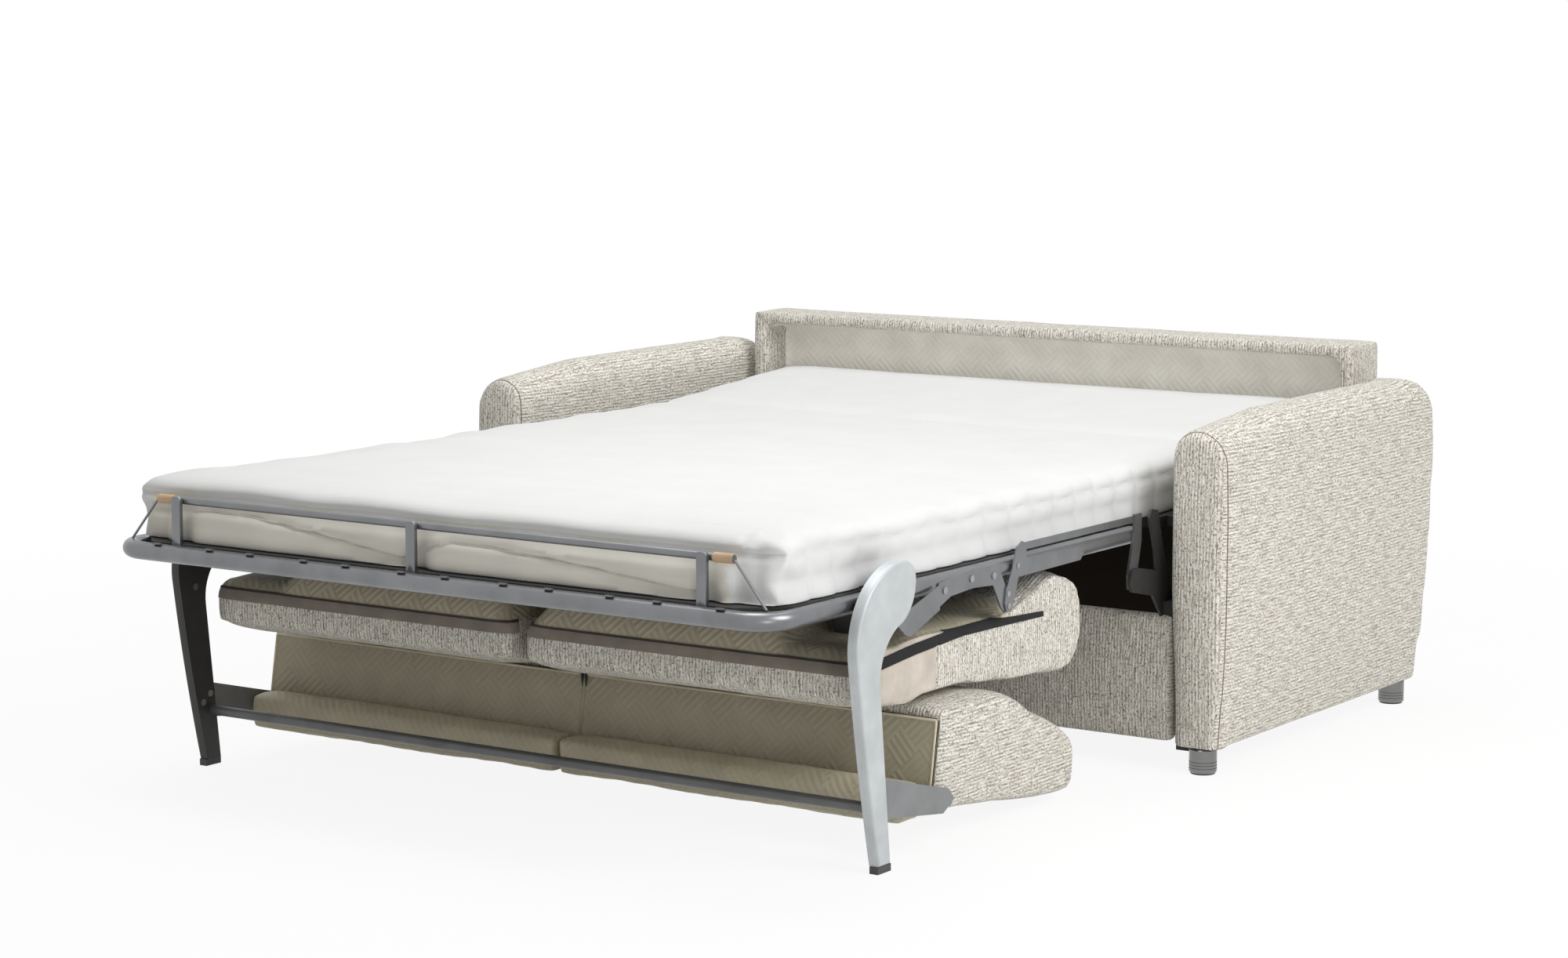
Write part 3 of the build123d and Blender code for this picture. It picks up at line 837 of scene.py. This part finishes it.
class SOFABED_OT_front_rail(bpy.types.Operator):
    """Padded rail under the seat, with its soft lower ends cut off as pieces of their own"""
    bl_idname = "sofabed.front_rail"
    bl_label = "Front rail"

    def execute(self, context):
        low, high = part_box("front_rail")
        whole = piece_from(add_box(bmesh.new(), high - low, (high + low) / 2), "front_rail_whole")
        remesh(whole, settings().cloth.voxel * 0.8, 5)
        refine(whole)
        co, skin = points(whole), normals(whole)
        front = ramp(-skin[:, 1], 0.2, 0.9)
        height = np.clip((co[:, 2] - low.z) / (high.z - low.z), 0, 1)
        co[:, 1] -= front * 0.006 * np.sin(height * math.pi)
        push(co, skin, 0.0015 * front * cloud(co, (0.15, 0.1, 0.1), 5.2))
        put_points(whole, co)
        below = ((0, 0, NOTCH_Z), (0, 0, -1))
        above = ((0, 0, NOTCH_Z), (0, 0, 1))
        bm = cut_down(whole, [above])
        join(bm, cut_down(whole, [below] + [((way * NOTCH_X, 0, 0), (way, 0, 0)) for way in (1, -1)]))
        pieces = [piece_from(bm, "front_rail_cover")]
        for way, side in ((1, "right"), (-1, "left")):
            end = cut_down(whole, [below, ((way * NOTCH_X, 0, 0), (-way, 0, 0))])
            pieces.append(piece_from(end, "front_rail_end_" + side))
        bpy.data.objects.remove(whole)
        for piece in pieces:
            smooth_shade(piece, 1.0)
            dress(piece, "weave")
            cloth_map(piece)
            seat_in(piece, "carcass", ())
        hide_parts("front_rail")
        for piece in pieces[1:]:
            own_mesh(piece)
        return {"FINISHED"}


# Cushions

def cushion_cover(node, name):
    """A cushion's solid drawn in a little and swelled again."""
    piece = piece_from(cad_mesh([node]), name)
    remesh(piece, settings().cloth.voxel, 3)
    put_points(piece, points(piece) - normals(piece) * 0.004)
    puff(piece, 4.0, 0.006)
    refine(piece)
    return piece


def press_seams(co, skin, places):
    """Sewn edges of the end panels, at these X."""
    seams = sum(ridge(co[:, 0], place, 0.004) * (1 - np.abs(skin[:, 0])) for place in places)
    push(co, skin, -0.003 * seams)


def shape_seat(co, skin, low, high):
    """Seams, hanging underside, raised lining and pulled rear of the right seat cushion."""
    x, y, z = co.T
    press_seams(co, skin, (high.x - 0.020, low.x + 0.012))
    flat = (np.abs(skin[:, 0]) > 0.6) & (x > 0.3)
    push(co, skin, -0.003 * flat * ridge(y, END_PANEL_Y, 0.004) * (z < 0.33))
    under = ramp(-skin[:, 2], 0.1, 0.7)
    z -= 0.010 * under * ramp(y, -0.83, -0.76) * fall(y, -0.650, -0.590)
    lift = ramp(skin[:, 2], 0.1, 0.6) * ramp(y, -0.803, -0.755) * fall(y, -0.60, -0.45)
    lift *= ramp(x, 0.01, 0.07) * (1 - 0.75 * ramp(x, 0.49, 0.55))
    z += 0.040 * lift
    x += 0.009 * ramp(x, 0.58, 0.68)
    pull = cloud(co, (0.09, 0.05, 0.05), 2.3) * ramp(y, -0.30, -0.12)
    push(co, skin, 0.0022 * pull + 0.0012 * cloud(co, (0.05, 0.06, 0.05), 7.7))


def binding_runs(way):
    """Planes that cut the binding out of the end of a seat cushion, stretch by stretch."""
    for start, end in zip(BINDING, BINDING[1:]):
        run = [((way * BINDING_X, 0, 0), (-way, 0, 0))]
        run += [((0, start[0], 0), (0, -1, 0)), ((0, end[0], 0), (0, 1, 0))]
        for at, sign in ((1, -1), (2, 1)):
            tilt = (end[at] - start[at]) / (end[0] - start[0])
            run.append(((0, start[0], start[at]), (0, -sign * tilt, sign)))
        yield run


def rear_run(low, high):
    """Planes that cut a level strip out of the rear of a seat cushion."""
    return [((0, 0, low), (0, 0, -1)), ((0, 0, high), (0, 0, 1)), ((0, TAPE_FRONT, 0), (0, 1, 0))]


class SOFABED_OT_seat(bpy.types.Operator):
    """Two seat cushions, turned face down, with tape, zip and binding"""
    bl_idname = "sofabed.seat"
    bl_label = "Seat"

    def execute(self, context):
        low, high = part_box("seat_cushion_right")
        seat = cushion_cover("seat_cushion_right", "seat_cover_right")
        co = points(seat)
        shape_seat(co, normals(seat), low, high)
        put_points(seat, co)

        def choose(mid, n):
            off, y, z = np.abs(mid[:, 0]), mid[:, 1], mid[:, 2]
            lined = (z > TAPE_HIGH) & (y < -0.70) | (n[:, 2] > 0.45) & (y < -0.30)
            plain = (np.abs(n[:, 0]) > 0.6) & (off > 0.3) & (y < END_PANEL_Y) & (y > -0.795)
            return np.where(plain & (n[:, 2] < 0.5), 2, lined)

        teeth = TAPE_HIGH + ZIP_GAP, TAPE_HIGH + ZIP_HIGH
        for cover, side, way in ((seat, "_right", 1), (mirror_piece(seat), "_left", -1)):
            smooth_shade(cover)
            paint_faces(cover, ("weave", "lining", "panel"), choose)
            cloth_map(cover, "zzy")
            seat_in(cover, "seat", ("seat_cushion" + side,))
            pieces = [cover]
            for name, key, runs, thick, lift in (
                ("zip_tape", "tape", [rear_run(TAPE_LOW, TAPE_HIGH)], 0.0012, 0.0002),
                ("zip_line", "zip", [rear_run(*teeth)], 0.0020, 0.0002),
                ("edge_binding", "binding", binding_runs(way), 0.0014, 0.0003),
            ):
                trim = band(cover, runs, thick, lift, name + side)
                dress(trim, key)
                replaced = ("seat_tape",) if trim.name == "zip_tape_right" else ()
                pieces.append(seat_in(trim, "seat", replaced))
            for piece in pieces:
                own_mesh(piece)
        finish_node("hidden", "seat_rails", "seat_spine")
        return {"FINISHED"}


def leaned(y, z):
    """A Y on the leaning front of the backrest."""
    return y + (z - LINING_Z) * LINING_LEAN


def bow(x):
    """Slack of the lined panel along its top edge."""
    return 0.002 * math.sin(x * 9)


def lined_panel(end):
    bm = add_box(bmesh.new(), (end, 0.007, LINING_HIGH), (end / 2 + 0.0015, LINING_Y, LINING_Z))
    bmesh.ops.subdivide_edges(bm, edges=bm.edges, cuts=9, use_grid_fill=True)
    for vert in bm.verts:
        x, y, z = vert.co
        vert.co.y = leaned(y, z) - bow(x) * (z - 0.06) / LINING_HIGH
    bevel(bm, [e for e in bm.edges if e.calc_face_angle(0) > 1], 0.003, 3)
    return piece_from(bm, "back_panel_lining_right")


def panel_piping(end):
    line = [(end - 0.001, leaned(-0.6160, z), z) for z in np.linspace(0.070, LINING_TOP, 14)]
    line += [(x, -0.6035 - bow(x), LINING_TOP) for x in np.linspace(end - 0.004, 0.002, 40)]
    return welt([line], 0.0022, "back_panel_piping_right")


def lining_roll(wide):
    bm = add_box(bmesh.new(), (wide, 0.066, 0.060), (wide / 2 + 0.006, -0.660, 0.086))
    roll = piece_from(bm, "back_roll_lining_right")
    remesh(roll, 0.008, 6)
    puff(roll, 5.0, 0.012)
    refine(roll)
    co, skin = points(roll), normals(roll)
    push(co, skin, 0.0028 * cloud(co, (0.16, 0.03, 0.03), 6.6) + 0.001 * cloud(co, (0.03, 0.03, 0.03), 2.2))
    put_points(roll, co)
    return roll


class SOFABED_OT_backrest(bpy.types.Operator):
    """Two back cushions, each with a lined panel and a loose roll below it"""
    bl_idname = "sofabed.backrest"
    bl_label = "Backrest"

    def execute(self, context):
        low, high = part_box("back_cushion_right")
        back = cushion_cover("back_cushion_right", "back_cover_right")
        co, skin = points(back), normals(back)
        press_seams(co, skin, (high.x - 0.016, low.x + 0.012))
        x, y = co.T[:2]
        y += 0.014 * ramp(y, -0.30, -0.16)
        fold = cloud(co, (0.2, 0.10, 0.022), 4.4) * ramp(x, 0.45, 0.70) * fall(y, -0.55, -0.30)
        push(co, skin, 0.0022 * fold + 0.0015 * cloud(co, (0.1, 0.08, 0.08), 8.1))
        put_points(back, co)

        def choose(mid, n):
            return (n[:, 1] < -0.5) & (mid[:, 1] < -0.57) & (mid[:, 2] < 0.20) & (np.abs(mid[:, 0]) < 0.70)

        panel_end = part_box("back_lining")[1].x + 0.022
        panel, piping = lined_panel(panel_end), panel_piping(panel_end)
        pieces = [back, panel, lining_roll(high.x - 0.026), piping]
        line = [(0, leaned(-0.6150, z), z) for z in np.linspace(0.067, 0.2150, 14)]
        seam = welt([line], 0.0034, "back_panel_seam")
        dress(seam, "fold")
        seat_in(seam, "backrest")
        for side in ("right", "left"):
            if side == "left":
                pieces = [mirror_piece(p) for p in pieces]
            cushion, panel, roll, piping = pieces
            for piece in pieces:
                smooth_shade(piece, 0.7 if piece is panel else None)
            paint_faces(cushion, ("weave", "lining"), choose)
            cloth_map(cushion)
            seat_in(cushion, "backrest", ("back_cushion_" + side,))
            # the panel takes the lining painted darker, as painted shade under the seat
            for piece, key in ((panel, "lining_in_painted_shade"), (roll, "lining")):
                dress(piece, key)
                cloth_map(piece, "zxx")
                replaced = ("back_lining",) if piece.name == "back_panel_lining_right" else ()
                seat_in(piece, "backrest", replaced)
            dress(piping, "cord")
            seat_in(piping, "backrest")
            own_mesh(roll)
        finish_node("bar", "back_tube", "back_bar")
        finish_node("blade", "back_blades")
        finish_node("hidden", "back_straps", "back_pin")
        return {"FINISHED"}


# Mattress

def mattress_block(half, front, rear):
    """A plain block with rounded corners, a soft upper and a crisp lower rim."""
    size = (2 * half - 0.006, rear - front - 0.006, MATTRESS_THICK)
    bm = add_box(bmesh.new(), size, (0, (front + rear) / 2, MATTRESS_BASE + 0.051))
    bevel(bm, [e for e in bm.edges if abs(e.verts[0].co.z - e.verts[1].co.z) > 0.05], 0.035, 5)
    for level, rounding in ((0.10, 0.026), (0.002, 0.014)):
        level += MATTRESS_BASE
        bevel(bm, [e for e in bm.edges if all(abs(v.co.z - level) < 0.002 for v in e.verts)], rounding, 5)
    return piece_from(bm, "mattress_body")


def shape_mattress(co, skin, half, front):
    """Uneven top, quilted sides, cream rolls at the foot and a flat lower rim."""
    co[:, 2] = np.maximum(co[:, 2], MATTRESS_BASE + 0.0004)
    x, y, z = co.T.copy()
    off, sign = np.abs(x), np.sign(x)
    toe = fall(y, front, front + 0.10)

    # top: rise to the head, creases at the folds, waves along the edges
    rise = 0.036 * ramp(y, 0.42, 0.97) + 0.006 * fall(y, -0.95, -0.55)
    rise -= 0.012 * ridge(y + 0.006 * np.sin(x * 5), 0.495, 0.020)
    rise -= 0.005 * ridge(y + 0.03 * np.sin(x * 4), -0.36, 0.022) * fall(x, -0.6, 0.3)
    rise += 0.0022 * cloud(co, (0.45, 0.16, 1), 1.3)
    rise += ramp(off, half - 0.13, half) * (0.007 * cloud(co, (1, 0.085, 1), 9.2) - 0.003)
    rise += toe * (0.005 * cloud(co, (0.16, 1, 1), 6.3) - 0.004)
    co[:, 2] += ramp(z, 0.485, 0.54) * rise

    # sides: quilting, soft waves, ears at the foot corners
    side = sign * ramp(np.abs(skin[:, 0]), 0.45, 0.8)
    rows = np.abs(np.sin((z - MATTRESS_BASE) / 0.036 * math.pi)) ** 0.4
    columns = np.abs(np.sin(y / 0.075 * math.pi + 0.4 * np.sin(y * 7))) ** 0.4
    co[:, 0] += side * settings().mattress.quilt * (rows * columns - 0.55)
    co[:, 0] += side * 0.004 * cloud(co, (1, 0.10, 0.06), 5.1) * fall(y, 0.80, 0.85)
    co[:, 0] += sign * 0.031 * toe * ramp(off, half - 0.08, half) * ramp(z, 0.475, 0.53)

    # foot: rolls that bulge between the posts, parted by the seam, under a sewn edge
    foot = ramp(-skin[:, 1], 0.45, 0.85) * fall(y, front + 0.015, front + 0.05)
    loose = 1 - 0.6 * np.clip(sum(ridge(x, post, 0.024) for post in POSTS_X), 0, 1)
    belly = fall(z, 0.488, 0.513) * (0.62 + 0.38 * fall(z, 0.470, 0.492))
    belly *= loose * (1 - 0.7 * ramp(off, 0.575, 0.60))
    co[:, 1] -= fall(y, front + 0.014, front + 0.040) * 0.025 * belly
    seam = ridge(z, np.interp(x, PILLOW_X, PILLOW_Z), 0.0060)
    co[:, 1] += foot * 0.009 * seam * loose * fall(z, 0.510, 0.516)
    co[:, 1] += foot * 0.010 * ridge(z, CREAM_TOP, 0.006)
    co[:, 1] += foot * 0.0020 * cloud(co, (0.07, 1, 0.04), 4.8)

    # folds on the right foot corner, then the lip and the lower rim
    corner = ramp(x, 0.55, 0.60) * fall(y, front + 0.03, front + 0.09) * ramp(z, 0.455, 0.475)
    push(co, skin, -corner * (0.003 + 0.006 * cloud(co, (0.022, 0.03, 0.045), 3.7)))
    lip = ramp(np.abs(skin[:, 0]), 0.05, 0.5) * fall(z, 0.458, 0.480) * fall(y, 0.0, 0.15)
    co[:, 0] += sign * 0.009 * lip
    rim = np.maximum(ramp(off, half - 0.06, half - 0.02), fall(y, front + 0.02, front + 0.06))
    co[:, 2] -= 0.80 * (z - MATTRESS_BASE) * rim * fall(z, 0.460, 0.478)


def foot_piping(body, front):
    """Cord along the seam of the cream rolls, laid on the mattress between the posts."""
    face = BVHTree.FromPolygons([v.co for v in body.data.vertices], [p.vertices for p in body.data.polygons])
    lines = []
    for start, end in zip(POSTS_X, POSTS_X[1:]):
        line = []
        for x in np.linspace(start + 0.015, end - 0.015, 50):
            seam = Vector((x, front - 0.1, float(np.interp(x, PILLOW_X, PILLOW_Z))))
            line.append(face.ray_cast(seam, Vector((0, 1, 0)))[0])
        lines.append(line)
    return welt(lines, 0.0019, "mattress_piping")


class SOFABED_OT_mattress(bpy.types.Operator):
    """Mattress in white knit, with a cream foot end, parted at the main fold"""
    bl_idname = "sofabed.mattress"
    bl_label = "Mattress"

    def execute(self, context):
        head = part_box("mattress_head")[1]
        half, front = head.x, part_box("mattress_foot")[0].y
        body = mattress_block(half, front, head.y)
        remesh(body, settings().mattress.voxel, 3)
        puff(body, 3.0, 0.007)
        refine(body)
        co = points(body)
        shape_mattress(co, normals(body), half, front)
        put_points(body, co)

        def choose(mid, n):
            x, y, z = mid.T
            cream = (n[:, 1] < -0.35) & (z < CREAM_TOP) & (y < front + 0.03)
            return cream & (x > 0.03 - half) & (x < 0.585 - 0.4 * np.maximum(0, z - 0.48))

        lengths = []
        for name, start, end in (
            ("mattress_front", None, FOLD_START), ("mattress_bend", FOLD_START, FOLD_END),
            ("mattress_head_end", FOLD_END, None),
        ):
            ends = [(place, way) for place, way in ((start, -1), (end, 1)) if place is not None]
            planes = [((0, place, 0), (0, way, 0)) for place, way in ends]
            lengths.append(piece_from(cut_down(body, planes), name))
            smooth_shade(lengths[-1], 1.0)
            paint_faces(lengths[-1], ("knit", "ticking"), choose)
        piping = foot_piping(body, front)
        dress(piping, "piping")
        seat_in(piping, "foot_section")
        bpy.data.objects.remove(body)
        lying, bend, end = lengths
        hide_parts("mattress_foot", "mattress_mid")
        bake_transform(lying)
        seat_in(bend, "seat_frame", ("mattress_fold",))
        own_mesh(bend)
        seat_in(end, "head_section", ("mattress_head",))
        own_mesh(end)
        return {"FINISHED"}


# Fitting and feet

class SOFABED_OT_foot_rail(bpy.types.Operator):
    """Posts of the mattress rail and the finish of the foot section"""
    bl_idname = "sofabed.foot_rail"
    bl_label = "Foot rail"

    def execute(self, context):
        edge = settings().metal.edge
        low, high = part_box("rail_posts")
        wide, thick = 0.019, 0.0085
        bm = bmesh.new()
        for x in (low.x + wide / 2, POSTS_X[1], high.x - wide / 2):
            middle = (x, (low.y + high.y) / 2 + 0.004, (high.z + low.z) / 2 - 0.004)
            add_box(bm, (wide, thick, high.z - low.z + 0.012), middle)
        bevel(bm, [e for e in bm.edges if abs((e.verts[0].co - e.verts[1].co).y) > 0.004], edge * 1.3, 4)
        bevel(bm, [e for e in bm.edges if e.calc_face_angle(0) > 0.7], edge * 0.3, 2)
        posts = piece_from(bm, "rail_post_bars")
        smooth_shade(posts, 0.6)
        dress(posts, "tube")
        seat_in(posts, "foot_section", ("rail_posts",))
        finish_node("tube", "foot_tube", "rail_rod", "rail_wires")
        finish_node("clip", "mesh_clips")
        finish_node("sleeve", "rail_sleeves")
        finish_node("net", "mesh_foot")
        finish_node("hidden", "foot_tongues")
        return {"FINISHED"}


class SOFABED_OT_legs(bpy.types.Operator):
    """Bed legs with rounded covers, dark inner sides and tips"""
    bl_idname = "sofabed.legs"
    bl_label = "Bed legs"

    def execute(self, context):
        def left_rim(mid, n):
            return (np.abs(n[:, 0]) < 0.6) & (mid[:, 0] < 0)

        def right_rim(mid, n):
            return (np.abs(n[:, 0]) < 0.6) & (mid[:, 0] > 0)

        for side in ("right", "left"):
            node = "leg_cover_" + side
            bm = cad_mesh([node], 0.01)
            outer = max(abs(v.co.x) for v in bm.verts)
            rim = [e for e in bm.edges if all(abs(v.co.x) > outer - 1e-4 for v in e.verts)]
            bevel(bm, rim, settings().metal.edge * 1.2, 4, True)
            cover = piece_from(bm, "leg_" + side)
            smooth_shade(cover, 0.6)
            paint_faces(cover, ("leg", "leg_dark"), left_rim)
            seat_in(cover, "backrest", (node,))
        inner = piece_from(cad_mesh(["leg_inners"]), "leg_inner_sides")
        smooth_shade(inner, 0.6)
        paint_faces(inner, ("leg_dark", "leg"), right_rim)
        seat_in(inner, "backrest", ("leg_inners",))
        finish_node("tip", "leg_tips")
        finish_node("bolt", "leg_bolts")
        finish_node("tube", "leg_stays")
        return {"FINISHED"}


class SOFABED_OT_fitting(bpy.types.Operator):
    """Finish of the bed frame, side plates and head section"""
    bl_idname = "sofabed.fitting"
    bl_label = "Fitting"

    def execute(self, context):
        finish_node("tube", "frame_tube_left", "frame_tube_right", "tie_bars")
        finish_node("tube", "lower_plates", "upper_plates", "fold_arms")
        finish_node("bolt", "frame_bolts", "hinge_pins", "fold_pins")
        finish_node("net", "mesh_mid", "mesh_head")
        # the side plates stand in for the swing fitting and are painted near-black, partly as painted shade
        # of that gap
        finish_node("hidden", "side_plates", "side_blocks", "head_guides", "cross_bars", "hinge_ears")
        finish_node("hidden", "seat_guides", "head_rails", "head_bars", "head_runners")
        return {"FINISHED"}


class SOFABED_OT_feet(bpy.types.Operator):
    """Turned chrome feet with three fine grooves and a dark glide"""
    bl_idname = "sofabed.feet"
    bl_label = "Sofa feet"

    def execute(self, context):
        low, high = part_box("sofa_feet")
        r, waist = FOOT_RADIUS, FOOT_RADIUS - 0.0012
        post = [(0, 0.003), (r - 0.002, 0.003), (r, 0.005)]
        for z in FOOT_GROOVES:
            post += [(r, z), (waist, z + 0.0005), (waist, z + 0.0016), (r, z + 0.0021)]
        post += [(r, high.z - 0.002), (r - 0.002, high.z), (0, high.z)]
        glide = [(0, 0), (r - 0.0035, 0), (r - 0.0025, 0.001), (r - 0.0025, 0.003), (0, 0.003)]
        for name, line, key, nodes in (
            ("sofa_foot_posts", post, "chrome", ("sofa_feet",)), ("sofa_foot_glides", glide, "tip", ()),
        ):
            bm = bmesh.new()
            for x in (low.x + r, high.x - r):
                for y in (low.y + r, high.y - r):
                    spots = [bm.verts.new((x + out, y, z)) for out, z in line]
                    edges = [bm.edges.new(pair) for pair in zip(spots, spots[1:])]
                    bmesh.ops.spin(
                        bm, geom=spots + edges, cent=(x, y, 0), axis=(0, 0, 1), angle=2 * math.pi, steps=40,
                        use_merge=True,
                    )
            bmesh.ops.remove_doubles(bm, verts=bm.verts, dist=1e-6)
            bmesh.ops.recalc_face_normals(bm, faces=bm.faces)
            piece = piece_from(bm, name)
            smooth_shade(piece, 0.5)
            dress(piece, key)
            seat_in(piece, "carcass", nodes)
        return {"FINISHED"}


# Stage

class SOFABED_OT_stage(bpy.types.Operator):
    """Floor, light and camera"""
    bl_idname = "sofabed.stage"
    bl_label = "Stage"

    def execute(self, context):
        s = settings().stage
        context.scene.view_settings.view_transform = "Standard"
        self.floor(s)
        self.world(context.scene, s)
        self.lamp("key_light", (4.6, -0.6, 3.6), (0.2, 0.2, 0.3), 3.2, s.key)
        self.lamp("top_light", (-0.6, 0.6, 4.2), (0, 0, 0.3), 4.0, s.top)
        self.lamp("side_light", (3.4, -3.2, 0.8), (0.6, -0.6, 0.15), 1.2, s.side)
        self.lamp("recess_light", (0.3, -0.9, 1.9), (0, 1.0, 0.55), 0.8, s.recess)
        data = bpy.data.cameras.new("camera")
        data.lens = s.lens
        data.sensor_width = 36
        data.sensor_fit = "HORIZONTAL"
        data.clip_end = 100
        camera = new_piece("camera", data)
        camera.location = (3.67144, -5.36843, 1.34830)
        camera.rotation_euler = (math.radians(82.46), 0, math.radians(34.35))
        context.scene.camera = camera
        return {"FINISHED"}

    def floor(self, s):
        """Pale floor that keeps a soft shadow and turns white further out."""
        bm = bmesh.new()
        bmesh.ops.create_grid(bm, x_segments=1, y_segments=1, size=30)
        floor = piece_from(bm, "floor")
        n = Finish("pale floor")
        place = n.place()
        tone = n.tone(n.noise(place, 4.0), s.floor, 0.995, 1)
        n.done(tone, 0.9, Specular_IOR_Level=0.05)
        away = n.add("ShaderNodeVectorMath", operation="LENGTH")
        n.put(place, away.inputs[0])
        fade = n.add(
            "ShaderNodeMapRange", interpolation_type="SMOOTHSTEP", Value=(away, "Value"), From_Min=1.2,
            From_Max=3.4, To_Min=0.90, To_Max=1.0,
        )
        path = n.add("ShaderNodeLightPath")
        seen = n.maths("MAXIMUM", (path, "Is Camera Ray"), (path, "Is Glossy Ray"))
        glow = n.add("ShaderNodeEmission", Color=(*WHITE, 1), Strength=1.0)
        out = next(node for node in n.tree.nodes if node.type == "OUTPUT_MATERIAL")
        n.blend(n.maths("MULTIPLY", seen, (fade, "Result")), n.shader, glow, out.inputs["Surface"])
        floor.data.materials.append(n.material)

    def world(self, scene, s):
        """Even light from all round, in front of a white background."""
        scene.world = bpy.data.worlds.new("studio")
        scene.world.use_nodes = True
        n = Layout(scene.world.node_tree)
        soft = n.tree.nodes["Background"]
        soft.inputs["Color"].default_value = (1, 0.985, 0.96, 1)
        soft.inputs["Strength"].default_value = s.fill
        white = n.add("ShaderNodeBackground", Color=(*WHITE, 1), Strength=1)
        path = n.add("ShaderNodeLightPath")
        seen = n.maths("MAXIMUM", (path, "Is Camera Ray"), (path, "Is Glossy Ray"))
        seen = n.maths("MAXIMUM", seen, (path, "Is Transmission Ray"))
        n.blend(seen, soft, white, n.tree.nodes["World Output"].inputs["Surface"])

    def lamp(self, name, place, aim, size, power):
        data = bpy.data.lights.new(name, "AREA")
        data.shape = "DISK"
        data.size = size
        data.energy = power
        lamp = new_piece(name, data)
        lamp.location = place
        lamp.rotation_euler = (Vector(aim) - Vector(place)).to_track_quat("-Z", "Y").to_euler()


PIECES = (
    SOFABED_OT_arms, SOFABED_OT_back_box, SOFABED_OT_front_rail, SOFABED_OT_seat, SOFABED_OT_backrest,
    SOFABED_OT_mattress, SOFABED_OT_foot_rail, SOFABED_OT_legs, SOFABED_OT_fitting, SOFABED_OT_feet,
    SOFABED_OT_stage,
)


class SOFABED_PT_pieces(bpy.types.Panel):
    """Sizes, colours and pieces of the sofa bed"""
    bl_label = "Sofa bed"
    bl_idname = "SOFABED_PT_pieces"
    bl_space_type = "VIEW_3D"
    bl_region_type = "UI"
    bl_category = "Sofa bed"

    def draw(self, context):
        s = context.scene.sofa_bed
        for group in (s.cloth, s.mattress, s.metal, s.stage):
            for key in group.__annotations__:
                self.layout.prop(group, key)
        for piece in PIECES:
            self.layout.operator(piece.bl_idname)


CLASSES = (SofaCloth, SofaMattress, SofaMetal, SofaStage, SofaSettings, *PIECES, SOFABED_PT_pieces)


def register():
    for cls in CLASSES:
        bpy.utils.register_class(cls)
    bpy.types.Scene.sofa_bed = PointerProperty(
        type=SofaSettings, name="Sofa bed", description="Sizes and colours"
    )


def unregister():
    del bpy.types.Scene.sofa_bed
    for cls in reversed(CLASSES):
        bpy.utils.unregister_class(cls)


def main():
    register()
    for piece in PIECES:
        group, name = piece.bl_idname.split(".")
        getattr(getattr(bpy.ops, group), name)()
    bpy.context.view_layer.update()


if __name__ == "__main__":
    main()
